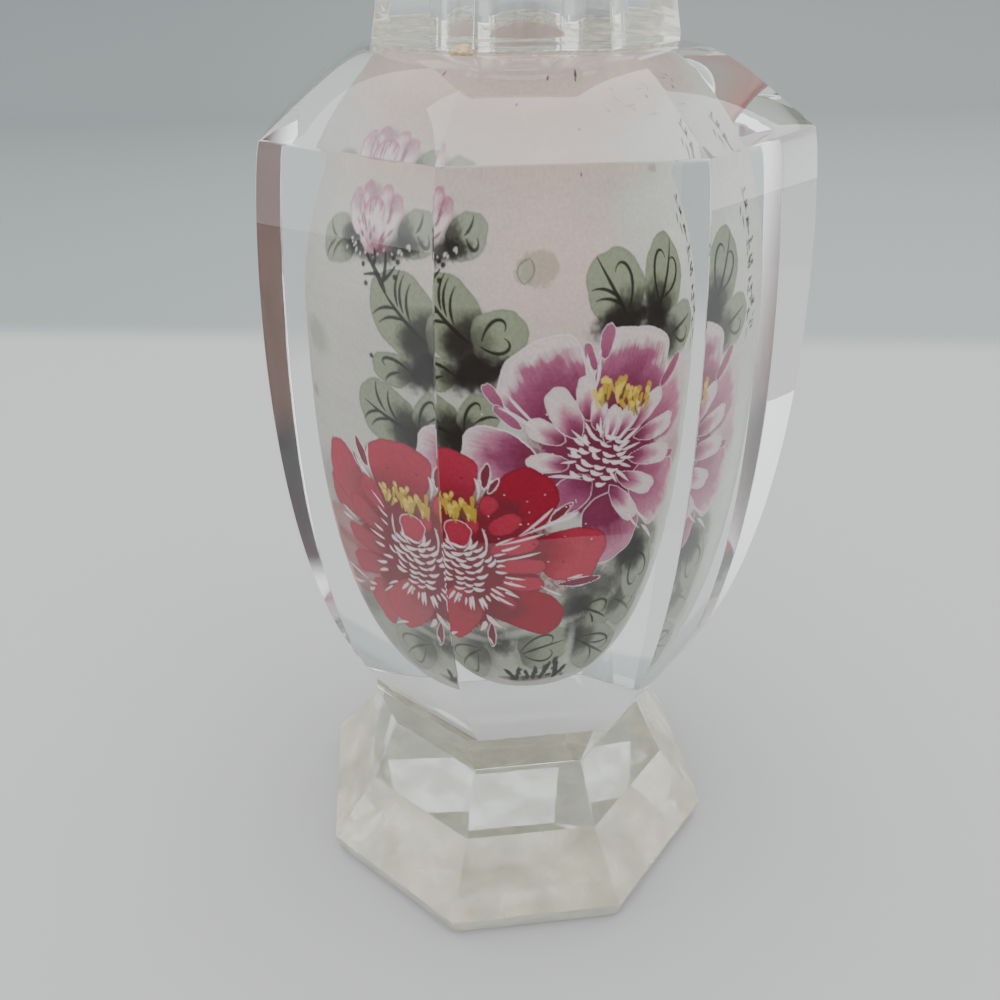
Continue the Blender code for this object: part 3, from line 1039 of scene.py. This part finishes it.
def paint_scales(picture, middle, first, widths, lean, seed):
    """Bold pale crescents in rings round a place, thick in the middle and thin at their ends."""
    draw = np.random.default_rng(seed)
    for ring, width in enumerate(widths):
        radius = first + 0.98 * ring
        across = -width + (0.9 if ring % 2 else 0.0) + draw.uniform(-0.3, 0.3)
        while across < width:
            turn = math.radians(lean) + (across + draw.uniform(-0.2, 0.2)) / radius
            far = radius + draw.uniform(-0.2, 0.2)
            half = draw.uniform(0.65, 1.1)
            tilt = draw.uniform(-0.25, 0.25)
            out = (math.sin(turn), -math.cos(turn))
            along = (math.cos(turn), math.sin(turn))
            arc = []
            for step, lift in ((-half, -0.25 - tilt), (0.0, 0.28), (half, -0.25 + tilt)):
                arc.append([middle[k] + (far + lift) * out[k] + step * along[k] for k in range(2)])
            picture.stroke(arc, draw.uniform(0.38, 0.66), "rose_white", 0.95, 0.2, 0.2)
            across += draw.uniform(1.75, 2.3)


def paint_red_peony(picture):
    """The red peony, low on the left."""
    picture.wash((-11.5, 66.5), (13.5, 10.5), "plum", 1.0, 0.16, 0.0, 41)
    for s, z, long, wide, turn, look, *more in RED_PETALS:
        outline = {} if look == "faded" else {"gap": 0.12, "line": "plum"}
        outline.update(*more)
        picture.petal((s, z), (long, wide), turn, RED_SHADES[look], **outline)
        if look == "top":
            picture.wash((-15.0, 75.2), (7.5, 2.6), "plum", 0.75, 0.6, 0.0, 43)
    for s, z, long, wide, turn in RED_SPIKES:
        picture.petal((s, z), (long, wide), turn, ((0.0, "dark_red"),), 0.0, 1.7, gap=0.16)
    rows = (
        (-9.4, 79.5, -8.5, 78.2, -9.2, 76.4, 0.45), (-19.4, 81.5, -20.2, 79.0, -19.0, 77.0, 0.35),
        (-22.4, 79.0, -21.0, 77.4, -19.6, 76.6, 0.6), (0.9, 75.3, -1.0, 73.2, -3.6, 71.4, 0.4),
        (3.4, 74.0, 0.5, 73.0, -3.4, 71.4, 0.45), (-0.2, 71.6, -3.0, 70.8, -6.3, 70.0, 0.35),
        (-0.6, 68.8, -3.5, 68.0, -6.9, 67.5, 0.32), (3.0, 61.4, 1.2, 62.2, -0.4, 63.3, 0.35),
        (6.0, 64.5, 4.8, 64.2, 3.6, 64.2, 0.35), (-10.2, 60.9, -9.6, 60.4, -8.9, 60.0, 0.7),
        (-9.2, 58.2, -8.4, 56.8, -6.8, 56.0, 0.9), (-9.6, 57.0, -10.0, 56.0, -11.0, 55.2, 0.9),
        (-9.7, 54.0, -9.2, 53.2, -9.0, 52.2, 0.4), (-16.4, 54.2, -18.6, 53.6, -20.6, 52.4, 0.45),
        (-28.5, 69.6, -26.0, 69.3, -24.0, 68.7, 0.35), (-28.6, 68.3, -27.0, 68.2, -25.2, 68.2, 0.4),
        (-33.0, 58.8, -29.0, 58.9, -25.6, 58.5, 0.5), (-34.0, 56.0, -30.5, 56.2, -27.6, 57.4, 0.5),
        (-25.2, 58.0, -24.0, 58.3, -22.8, 58.6, 0.45), (-26.2, 56.6, -25.0, 56.9, -24.0, 57.6, 0.5),
    )
    picture.strokes(rows, "rose_white")
    paint_scales(picture, (-12.2, 72.6), 3.5, (2.4, 3.6, 4.4, 4.9, 4.9, 4.4, 3.6, 2.6), 2.0, 5)
    draw = np.random.default_rng(15)
    for side, low, high in ((-1, 60.0, 73.0), (1, 61.5, 70.0)):
        for rise in np.linspace(low, high, 11):
            reach = draw.uniform(1.0, 3.4)
            start = -12.2 + side * draw.uniform(4.4, 6.6)
            lean = (rise - 66.2) * 0.24 * reach / 2
            middle = (start + side * 0.5 * reach, rise + 0.5 * lean + draw.uniform(-0.25, 0.25))
            ends = [(start, rise), middle, (start + side * reach, rise + lean)]
            picture.stroke(ends, draw.uniform(0.24, 0.5), "rose_white", 0.88, 0.6, 0.1)
    for k in range(11):
        angle = math.radians(222 + 10 * k + draw.uniform(-4, 4))
        first = draw.uniform(3.8, 4.8)
        last = first + draw.uniform(1.0, 2.6)
        ends = [(-11.2 + r * math.cos(angle), 65.0 + 0.95 * r * math.sin(angle)) for r in (first, last)]
        picture.stroke(ends, draw.uniform(0.3, 0.6), "rose_white", 0.9, 0.7, 0.1)
    for side in (-1, 1):
        curve = [(-12.4 + side * 1.9, 70.9), (-12.4 + side * 2.1, 69.6), (-12.4 + side * 0.7, 68.7)]
        picture.stroke(curve, 0.4, "rose_white", 0.9, 0.2, 0.3)
        far = [(-12.3 + side * 3.6, 72.4), (-12.0 + side * 4.2, 70.4), (-12.0 + side * 3.6, 68.8)]
        picture.stroke(far, 0.35, "rose_white", 0.8, 0.2, 0.3)
    paint_stamens(picture, ((-16.4, 75.4), (-13.6, 76.0), (-12.0, 75.0), (-10.3, 75.6)), 51)
    spots = ((-13.6, 60.8), (-16.0, 79.0), (-4.4, 75.6), (2.8, 67.0), (-8.3, 64.6), (-1.5, 70.1))
    picture.dots((*spots, (-11.2, 79.4)), (0.22, 0.2), "wine", 0.8, 0.5)


def paint_stamens(picture, clumps, seed):
    """Clumps of thick, long ochre dabs with dark brown between them."""
    draw = np.random.default_rng(seed)
    for s, z in clumps:
        for _ in range(4):
            top = (s + draw.uniform(-1.3, 1.3), z + draw.uniform(-0.6, 0.6))
            foot = (s + draw.uniform(-0.9, 0.9), z - draw.uniform(1.2, 2.2))
            picture.stroke([top, foot], draw.uniform(0.5, 0.8), "brown", 0.85, 0.8, 0.4, 0.25)
    for s, z in clumps:
        for _ in range(7):
            top = (s + draw.uniform(-1.6, 1.6), z + draw.uniform(-0.7, 1.3))
            foot = (0.6 * top[0] + 0.4 * s + draw.uniform(-0.3, 0.3), top[1] - draw.uniform(0.9, 2.0))
            name = "ochre" if draw.uniform() < 0.6 else "ochre_light"
            picture.stroke([top, foot], draw.uniform(0.42, 0.72), name, 0.95, 1.0, 0.4)
            if draw.uniform() < 0.6:
                size = draw.uniform(0.36, 0.56)
                tip = "ochre_light" if name == "ochre" else "ochre"
                picture.wash(top, (size, 0.8 * size), tip, 1.0, 0.25, draw.uniform(0, 180), seed + 1)


def paint_magenta_peony(picture):
    """The magenta peony, higher on the right."""
    picture.wash((7.0, 82.0), (10.0, 9.0), "deep_magenta", 1.0, 0.16, 0.0, 61)
    for s, z, long, wide, turn, look, more in MAGENTA_PETALS:
        picture.petal((s, z), (long, wide), turn, MAGENTA_SHADES[look], **more)
        if look == "purple":
            picture.wash((7.6, 82.0), (5.5, 5.2), "wine", 0.7, 0.4, 0.0, 63)
    draw = np.random.default_rng(6)
    paint_scales(picture, (10.6, 88.8), 5.4, (2.2, 3.0, 3.5, 3.6, 3.4, 2.8, 2.0), -27.0, 16)
    for angle in (350, 6, 20, 34, 48, 64, 80, 98, 116, 130, 142, 154, 166, 178, 300, 318, 334):
        turn = math.radians(angle + draw.uniform(-4, 4))
        inner = draw.uniform(2.6, 3.6)
        outer = inner + draw.uniform(1.6, 3.4)
        ends = [(7.2 + r * math.cos(turn), 81.6 + 0.95 * r * math.sin(turn)) for r in (inner, outer)]
        picture.stroke(ends, draw.uniform(0.28, 0.55), "rose_white", 0.9, 0.5, 0.12)
    rows = (
        (-5.0, 90.6, -3.0, 88.2, -1.2, 86.5, 0.4), (-6.0, 88.9, -3.0, 87.8, -0.8, 85.4, 0.4),
        (4.6, 95.0, 4.8, 93.4, 5.6, 92.2, 0.35), (6.3, 94.4, 6.3, 92.0, 5.8, 90.6, 0.45),
        (0.2, 79.8, 2.4, 79.9, 4.6, 79.0, 0.4), (4.4, 74.4, 3.0, 73.6, 1.8, 73.2, 0.7),
        (12.6, 72.6, 13.6, 71.0, 15.4, 69.8, 0.35), (14.0, 72.8, 15.6, 71.2, 17.4, 70.4, 0.35),
        (15.8, 70.2, 17.6, 69.0, 19.2, 67.2, 0.5),
    )
    picture.strokes(rows, "rose_white")
    paint_stamens(picture, ((7.2, 90.4), (9.2, 90.2), (11.0, 89.2), (12.6, 88.6)), 71)


def paint_bud(picture):
    """A pale bud above the leaves, with magenta strokes, a dark foot and forked twigs."""
    draw = np.random.default_rng(8)
    for centre, size, turn, strength in (
        ((-20.6, 105.7), (3.6, 1.3), 344.0, 0.9), ((-16.6, 104.9), (2.8, 1.0), 0.0, 0.8),
        ((-13.0, 106.0), (3.0, 1.1), 8.0, 0.9),
    ):
        picture.wash(centre, size, "ink", strength, 0.45, turn, 82)
    for _ in range(26):
        spot = (draw.uniform(-23.0, -11.6), draw.uniform(104.4, 106.9))
        size = draw.uniform(0.1, 0.22)
        picture.wash(spot, (1.4 * size, size), "ground_pale", 0.7, 0.5, draw.uniform(0, 180), 3)
    stops = [(0.0, "rose"), (0.25, "bud"), (0.8, "bud"), (1.0, "lilac")]
    for centre, size, turn in (
        ((-21.6, 108.5), (2.5, 1.4), 134), ((-15.5, 108.6), (2.5, 1.3), 58),
        ((-20.1, 109.0), (2.6, 1.4), 106), ((-17.0, 109.0), (2.6, 1.3), 76),
        ((-18.6, 107.6), (2.7, 2.1), 92),
    ):
        picture.petal(centre, size, turn, stops, gap=0.06, line="lilac", strength=0.94, soft=0.5, edge=0.05)
    for centre, size, name, strength in (
        ((-21.9, 109.6), (1.3, 0.8), "magenta", 0.55), ((-19.4, 110.8), (1.7, 0.7), "magenta", 0.6),
        ((-15.2, 109.9), (1.3, 0.7), "magenta", 0.6), ((-17.2, 105.8), (1.7, 0.7), "deep_magenta", 0.75),
        ((-18.6, 106.8), (1.5, 0.8), "magenta", 0.45),
    ):
        picture.wash(centre, size, name, strength, 0.6, 0.0, 5)
    for _ in range(26):
        angle = math.radians(draw.uniform(40, 140))
        near = draw.uniform(1.2, 5.2)
        far = near + draw.uniform(0.6, 1.3)
        ends = [(-18.0 + r * math.cos(angle), 104.8 + r * math.sin(angle)) for r in (near, far)]
        name = "deep_magenta" if near < 3.2 else "magenta"
        picture.stroke(ends, draw.uniform(0.22, 0.46), name, 0.8, 0.5, 0.2, 0.25)
    rows = (
        (-15.4, 101.2, -16.6, 103.0, -18.8, 104.7, 0.75), (-15.8, 102.0, -15.4, 103.4, -15.6, 105.2, 0.6),
        (-16.4, 102.9, -17.4, 102.9, -19.0, 102.5, 0.5), (-17.4, 103.8, -17.2, 104.6, -17.6, 105.4, 0.6),
        (-15.8, 102.2, -14.8, 103.0, -14.0, 104.0, 0.5),
    )
    picture.strokes(rows, "ink", 0.94, 0.6, 0.5)
    spots = ((-19.3, 103.6), (-18.6, 101.6), (-14.3, 104.9), (-13.6, 104.5), (-13.9, 102.9), (-17.6, 93.4))
    picture.dots(spots, (0.36, 0.32), "ink", 0.95, 0.35)
    picture.wash((-30.5, 92.8), (3.6, 2.2), "leaf_pale", 0.6, 0.45, 0.0, 84)
    picture.wash((-33.6, 84.6), (1.3, 0.8), "charcoal", 0.4, 0.6, 0.0, 85)
    picture.wash((-1.2, 104.6), (2.5, 1.9), "olive_wash", 0.75, 0.14, 0.0, 85)
    picture.wash((-3.0, 104.2), (1.2, 1.3), "leaf_pale", 0.6, 0.15, 0.0, 86)
    for points in (
        ((-2.4, 105.6), (-4.2, 105.2), (-4.2, 103.8), (-3.0, 103.0)),
        ((-2.2, 105.5), (-1.4, 104.6), (-1.8, 103.6), (-2.9, 103.1)),
    ):
        picture.stroke(points, 0.24, "leaf_shade", 0.8, 0.8, 0.6)


def paint_column(picture):
    """A column of short dark brush marks at the right, which spell nothing."""
    draw = np.random.default_rng(9)
    for mark in range(7):
        height = 108.2 - 2.45 * mark
        middle = 25.0 + 0.22 * mark
        for _ in range(6):
            start = (middle + draw.uniform(-1.5, 0.9), height + draw.uniform(-0.9, 0.9))
            if draw.uniform() < 0.6:
                end = (start[0] + draw.uniform(0.7, 1.7), start[1] + draw.uniform(0.0, 0.6))
            else:
                end = (start[0] + draw.uniform(-0.7, 0.2), start[1] - draw.uniform(0.7, 1.5))
            bend = ((start[0] + end[0]) / 2, (start[1] + end[1]) / 2 + draw.uniform(-0.2, 0.3))
            picture.stroke([start, bend, end], draw.uniform(0.3, 0.48), "ink", 0.92, 0.7, 0.3)


def paint_specks(picture):
    """Dark specks and faint streaks under the neck, and fine pale dots over the flowers."""
    for place, size in (
        ((2.4, 117.4), (0.34, 0.12)), ((8.6, 117.3), (0.42, 0.16)), ((8.1, 117.0), (0.24, 0.1)),
        ((-15.4, 116.9), (0.26, 0.12)), ((21.3, 113.5), (0.26, 0.12)), ((22.9, 113.9), (0.2, 0.1)),
        ((-4.0, 115.4), (0.3, 0.1)), ((5.6, 112.8), (0.16, 0.1)),
    ):
        picture.wash(place, size, "ink", 0.9, 0.35, 20.0, 2)
    draw = np.random.default_rng(13)
    for _ in range(34):
        spot = (draw.uniform(-9.0, 7.0), draw.uniform(62.0, 90.0))
        picture.wash(spot, (draw.uniform(0.07, 0.13), 0.09), "rim", 0.9, 0.2, 0.0, 2)
    draw = np.random.default_rng(12)
    for _ in range(9):
        start = (draw.uniform(12.0, 24.0), draw.uniform(111.6, 115.6))
        end = (start[0] - draw.uniform(0.6, 2.4), start[1] + draw.uniform(0.2, 0.9))
        picture.stroke([start, end], draw.uniform(0.12, 0.22), "charcoal", 0.45, 0.5, 0.2)


def paint_all(picture):
    """Lay the whole painting, from the ground to the finest marks."""
    paint_ground(picture)
    paint_washes(picture)
    paint_leaves(picture)
    paint_gaps(picture)
    paint_twig(picture)
    paint_magenta_peony(picture)
    paint_red_peony(picture)
    paint_bud(picture)
    paint_column(picture)
    paint_specks(picture)


class VASE_OT_foot(bpy.types.Operator):
    """Cut the waisted foot"""

    bl_idname = "vase.foot"
    bl_label = "Foot"

    def execute(self, context):
        sizes = context.scene.vase_foot
        points = [
            (0.0, FOOT_HIGH.z),
            (sizes.top, FOOT_HIGH.z),
            (sizes.waist, sizes.waist_height),
            (sizes.apron, sizes.apron_height),
            (sizes.girdle, sizes.girdle_height),
            (sizes.underside, FOOT_LOW.z),
            (0.0, FOOT_LOW.z),
        ]
        foot = faceted("foot_glass", points, (sizes.shift, 0.0))
        ease_edges(foot)
        smooth(foot)
        look = context.scene.vase_glass
        milk = (look.underside, look.stain, look)
        hand_over(foot, glass("foot glass", look.foot_tint, *FOOT_POLISH), "foot_glass", "foot")
        foot.data.materials.append(ground_glass("ground underside", *milk, *UNDERSIDE_MILK))
        foot.data.materials.append(ground_glass("foot apron", *milk, *APRON_MILK))
        # The waist gets its own darker tint, a painted shade over the windows.
        foot.data.materials.append(glass("foot waist painted shade", look.waist_shade_tint, *FOOT_POLISH))
        for face in foot.data.polygons:
            if face.center.z < FOOT_LOW.z + look.edge / 4:
                face.material_index = 1
            elif face.center.z < sizes.apron_height and face.normal.z > 0.2:
                face.material_index = 2
            elif sizes.apron_height < face.center.z < FOOT_HIGH.z - look.edge / 4:
                face.material_index = 3
        return {"FINISHED"}


class VASE_OT_body(bpy.types.Operator):
    """Cut the thick body and turn its hollow"""

    bl_idname = "vase.body"
    bl_label = "Body"

    def execute(self, context):
        sizes = context.scene.vase_body
        table = (sizes.table, BODY_HIGH.z)
        shoulder = (sizes.shoulder, sizes.shoulder_height)
        base = (sizes.base, BODY_LOW.z)
        upper = (sizes.upper_pull, sizes.upper_pull_height)
        lower = (sizes.lower_pull, sizes.lower_pull_height)
        inner = off_line(table, shoulder, 0.2, sizes.bulge)
        outer = off_line(table, shoulder, 0.5, sizes.bulge_outer)
        slope = bezier((table, inner, outer, shoulder), SLOPE_STEPS)
        belly = bezier((shoulder, upper, lower, base), BELLY_STEPS)
        body = faceted("body_glass", [(0.0, BODY_HIGH.z), *slope, *belly[1:], (0.0, BODY_LOW.z)])
        shift_facets(body, sizes.facet_out)
        ease_edges(body)
        centre = (sizes.bore_x, sizes.bore_y)
        wall = hollow_points(sizes, 0.0, WALL_ROW)
        top = BODY_HIGH.z + DRILL_PAST
        drill(body, [*wall[:-1], (sizes.bore, top), (0.0, top)], centre)
        smooth(body)
        look = context.scene.vase_glass
        hand_over(body, glass("body glass", look.tint, *BODY_POLISH), "body_glass", "body")
        milk = look.base_milk
        body.data.materials.append(ground_glass("ground base", milk, milk, look, *BASE_MILK))
        for face in body.data.polygons:
            if face.center.z < BODY_LOW.z + look.edge / 4:
                face.material_index = 1
        return {"FINISHED"}


class VASE_OT_neck(bpy.types.Operator):
    """Cut and bore the neck"""

    bl_idname = "vase.neck"
    bl_label = "Neck"

    def execute(self, context):
        sizes = context.scene.vase_neck
        body = context.scene.vase_body
        low = NECK_LOW.z
        high = NECK_HIGH.z
        points = [
            (0.0, high),
            (sizes.lip - sizes.lip_chamfer, high),
            (sizes.lip, low + sizes.lip_rise + sizes.lip_band),
            (sizes.lip, low + sizes.lip_rise),
            (sizes.waist, low + sizes.waist_rise),
            (sizes.base, low + sizes.band),
            (sizes.base, low),
            (0.0, low),
        ]
        centre = (body.bore_x, body.bore_y)
        neck = faceted("neck_glass", points, centre)
        ease_edges(neck)
        flare = sizes.mouth_flare
        bore = [
            (0.0, high + flare),
            (body.bore + 2 * flare, high + flare),
            (body.bore, high - flare),
            (body.bore, low - flare),
            (0.0, low - flare),
        ]
        drill(neck, bore, centre)
        smooth(neck)
        clear = glass("neck glass", context.scene.vase_glass.tint, *NECK_POLISH)
        hand_over(neck, clear, "neck_glass", "neck")
        return {"FINISHED"}


class VASE_OT_glue(bpy.types.Operator):
    """Lay the glue in the two joints, and the drop that stayed at the neck"""

    bl_idname = "vase.glue"
    bl_label = "Glue"

    def execute(self, context):
        sizes = context.scene.vase_glue
        body = context.scene.vase_body
        look = context.scene.vase_glass
        centre = (body.bore_x, body.bore_y)
        bite = sizes.bite
        low = BODY_HIGH.z + bite
        high = NECK_LOW.z + bite
        ring = faceted("glue_neck", [(0.0, high), (sizes.neck, high), (sizes.neck, low), (0.0, low)], centre)
        bore = body.bore + 4 * bite
        drill(ring, [(0.0, high + bite), (bore, high + bite), (bore, low - bite), (0.0, low - bite)], centre)
        hand_over(ring, dried_glue("clouded glue", look, look.glue_tint, *NECK_CLOUD), "glue")
        low = FOOT_HIGH.z + bite
        high = BODY_LOW.z - bite
        points = [(0.0, high), (sizes.foot, high), (sizes.foot, low), (0.0, low)]
        disc = faceted("glue_foot", points, (sizes.foot_shift, 0.0))
        hand_over(disc, dried_glue("clear glue", look, look.tint, *FOOT_CLOUD), "glue")
        self.drop(sizes, centre, look)
        return {"FINISHED"}

    def drop(self, sizes, centre, look):
        """A squashed, uneven drop of glue in the corner under the neck."""
        across = math.sin(sizes.drop_turn) * sizes.drop_radius + centre[0]
        along = -math.cos(sizes.drop_turn) * sizes.drop_radius + centre[1]
        bpy.ops.object.select_all(action="DESELECT")
        bpy.ops.mesh.primitive_ico_sphere_add(subdivisions=5, radius=1.0, location=(0.0, 0.0, 0.0))
        drop = bpy.context.object
        drop.name = "glue_drop"
        drop.data.name = "glue_drop"
        lumps = bpy.data.textures.new("lumps", "CLOUDS")
        lumps.noise_scale = 0.9
        uneven = drop.modifiers.new("lumps", "DISPLACE")
        uneven.texture = lumps
        uneven.strength = 0.7
        apply_modifier(drop, uneven)
        bpy.ops.object.mode_set(mode="EDIT")
        bpy.ops.mesh.select_all(action="SELECT")
        bpy.ops.transform.resize(value=sizes.drop_size, center_override=(0.0, 0.0, 0.0))
        bpy.ops.transform.rotate(value=-sizes.drop_turn, orient_axis="Z", center_override=(0.0, 0.0, 0.0))
        bpy.ops.transform.translate(value=(across, along, BODY_HIGH.z + 0.4 * sizes.drop_size[2]))
        bpy.ops.object.mode_set(mode="OBJECT")
        bpy.ops.object.shade_smooth()
        hand_over(drop, glue_drop(look), "glue")


class VASE_OT_painting(bpy.types.Operator):
    """Lay the painting and its milky ground on the wall of the hollow"""

    bl_idname = "vase.painting"
    bl_label = "Painting"

    def execute(self, context):
        body = context.scene.vase_body
        centre = (body.bore_x, body.bore_y)
        material = paint_film(context.scene.vase_glass, context.scene.vase_paints.glow)
        ground = draw_profile("painting_ground", hollow_points(body, GROUND_OUT, GROUND_ROW), 0.0, centre)
        turn_profile(GROUND_STEPS, centre)
        self.finish(context, ground, material)
        for name, start, end, cell in PAINT_SHEETS:
            points = []
            for radius, height in hollow_points(body, PAINT_OUT, cell):
                if PICTURE_LOW < height < PICTURE_HIGH and radius > PICTURE_INNER:
                    points.append((radius, height))
            sheet = draw_profile(name, points, math.radians(end - 90.0), centre)
            sweep = math.radians(end - start)
            turn_profile(round(sweep * ROUND_RADIUS / cell), centre, sweep)
            self.finish(context, sheet, material)
        return {"FINISHED"}

    def finish(self, context, sheet, material):
        """Turn a sheet of paint outwards, smooth it, and give its points their colours."""
        body = context.scene.vase_body
        paints = context.scene.vase_paints
        mesh = sheet.data
        count = len(mesh.vertices)
        places = np.empty(count * 3)
        mesh.vertices.foreach_get("co", places)
        places = places.reshape(-1, 3)
        face = max(mesh.polygons, key=lambda p: p.area)
        outwards = face.center.x * face.normal.x + face.center.y * face.normal.y
        if outwards < 0:
            bpy.ops.object.mode_set(mode="EDIT")
            bpy.ops.mesh.select_all(action="SELECT")
            bpy.ops.mesh.flip_normals()
            bpy.ops.object.mode_set(mode="OBJECT")
        bpy.ops.object.shade_smooth()
        round_it = np.arctan2(places[:, 0] - body.bore_x, -(places[:, 1] - body.bore_y))
        colours = {name: np.array(getattr(paints, name)) for name in PaintColours.__annotations__}
        picture = Picture(round_it * ROUND_RADIUS / MM, places[:, 2] / MM, colours)
        paint_all(picture)
        tones = np.ones((count, 4), np.float32)
        tones[:, :3] = np.clip(picture.colour, 0.0, 1.0)
        tones[:, 3] = np.clip(THIN_PAINT * picture.colour.min(axis=1), 0.0, 1.0)
        layer = mesh.color_attributes.new("paint", "FLOAT_COLOR", "POINT")
        layer.data.foreach_set("color", tones.ravel())
        hand_over(sheet, material, "painting")


class VASE_OT_stage(bpy.types.Operator):
    """Set out the table, the backdrop, the lights and the camera"""

    bl_idname = "vase.stage"
    bl_label = "Stage"

    def execute(self, context):
        look = context.scene.vase_stage
        self.table(look)
        self.light(context, look)
        for kind in ("max", "glossy", "transmission"):
            setattr(context.scene.cycles, kind + "_bounces", look.bounces)
        bpy.ops.object.camera_add(location=look.camera, rotation=look.aim)
        camera = context.object
        camera.name = "camera"
        camera.data.lens = look.lens
        camera.data.clip_start = 0.001
        context.scene.camera = camera
        return {"FINISHED"}

    def table(self, look):
        """A pale table that runs back to a curved backdrop."""
        bpy.ops.object.select_all(action="DESELECT")
        bpy.ops.mesh.primitive_plane_add(size=TABLE_SIZE, location=TABLE_MIDDLE)
        table = bpy.context.object
        table.name = "table_and_backdrop"
        bpy.ops.object.transform_apply(location=True, rotation=False, scale=False)
        pick_edges(table, lambda place: place.y < 0.0)
        back = TABLE_SIZE / 2 - TABLE_MIDDLE[1] - look.table_front
        bpy.ops.transform.translate(value=(0.0, back, 0.0))
        bpy.ops.object.mode_set(mode="OBJECT")
        pick_edges(table, lambda place: place.y > 0.0)
        bend = [math.pi / 2 * step / BACKDROP_STEPS for step in range(BACKDROP_STEPS + 1)]
        for first, second in zip(bend, bend[1:]):
            out = BACKDROP_RADIUS * (math.sin(second) - math.sin(first))
            up = BACKDROP_RADIUS * (math.cos(first) - math.cos(second))
            bpy.ops.mesh.extrude_region_move(TRANSFORM_OT_translate={"value": (0.0, out, up)})
        bpy.ops.mesh.extrude_region_move(TRANSFORM_OT_translate={"value": (0.0, 0.0, BACKDROP_RISE)})
        bpy.ops.mesh.select_mode(type="VERT")
        bpy.ops.mesh.select_all(action="SELECT")
        bpy.ops.mesh.normals_make_consistent(inside=False)
        bpy.ops.object.mode_set(mode="OBJECT")
        bpy.ops.object.shade_smooth()
        finish = Finish("table and backdrop")
        straight = finish.object_place()
        turn = {"Vector": straight, "Rotation": (0.0, 0.0, look.table_turn)}
        turned = finish.node("ShaderNodeMapping", {}, turn)
        depth = finish.part(turned, 1)
        # Painted light and shade on the backdrop: lighter to the right, darker far off.
        side = finish.fade(finish.part(straight, 0), *BACKDROP_LIT_SIDES)
        far_shade_fade = finish.fade(depth, look.table_depth, BACKDROP_FAR)
        near = finish.mix(side, opaque(look.backdrop), opaque(look.lit_backdrop_right))
        far = finish.mix(side, opaque(look.backdrop_far), opaque(look.lit_backdrop_far_right))
        edge = finish.fade(depth, look.table_depth - SEAM, look.table_depth + SEAM)
        finish.surface(
            Base_Color=finish.mix(edge, opaque(look.table), finish.mix(far_shade_fade, near, far)),
            Roughness=0.9,
            Specular_IOR_Level=0.1,
        )
        table.data.materials.append(finish.material)

    def light(self, context, look):
        """Soft light from all round but from a dim side before the vase, and a large soft light overhead."""
        world = bpy.data.worlds.new("studio")
        studio = Finish("studio", world)
        right, back, height = (studio.part(studio.object_place(), axis) for axis in range(3))
        dim = studio.fade(back, *DIM_FRONT) * studio.fade(height, *DIM_BELOW)
        dim = dim * studio.fade(right, *DIM_LEFT) * studio.fade(right, *DIM_RIGHT)
        room = studio.mix(studio.fade(height, *DIM_HEIGHTS), opaque(look.room_low), opaque(look.room_high))
        studio.surface(Color=studio.mix(dim, opaque(look.sky), room), Strength=look.sky_strength)
        context.scene.world = world
        bpy.ops.object.light_add(type="AREA", location=LAMP_PLACE)
        lamp = context.object
        lamp.name = "overhead"
        lamp.data.size = LAMP_SIZE
        lamp.data.energy = look.overhead


class VASE_PT_panel(bpy.types.Panel):
    """Buttons for the vase's pieces and its stage"""

    bl_idname = "VASE_PT_panel"
    bl_label = "Inside-painted vase"
    bl_space_type = "VIEW_3D"
    bl_region_type = "UI"
    bl_category = "Vase"

    def draw(self, context):
        for name, group in SETTINGS.items():
            box = self.layout.box()
            settings = getattr(context.scene, name)
            for field in group.__annotations__:
                box.prop(settings, field)
        for step in STEPS:
            self.layout.operator(step.bl_idname)


STEPS = (VASE_OT_foot, VASE_OT_body, VASE_OT_neck, VASE_OT_glue, VASE_OT_painting, VASE_OT_stage)


def register():
    """Add the settings, operators and panel."""
    for name, group in SETTINGS.items():
        bpy.utils.register_class(group)
        setattr(bpy.types.Scene, name, PointerProperty(type=group))
    for kind in (*STEPS, VASE_PT_panel):
        bpy.utils.register_class(kind)


def unregister():
    """Take the settings, operators and panel away again."""
    for kind in reversed((*STEPS, VASE_PT_panel)):
        bpy.utils.unregister_class(kind)
    for name, group in reversed(SETTINGS.items()):
        delattr(bpy.types.Scene, name)
        bpy.utils.unregister_class(group)


def main():
    """Make every piece in order."""
    register()
    bpy.ops.vase.foot()
    bpy.ops.vase.body()
    bpy.ops.vase.neck()
    bpy.ops.vase.glue()
    bpy.ops.vase.painting()
    bpy.ops.vase.stage()


if __name__ == "__main__":
    main()
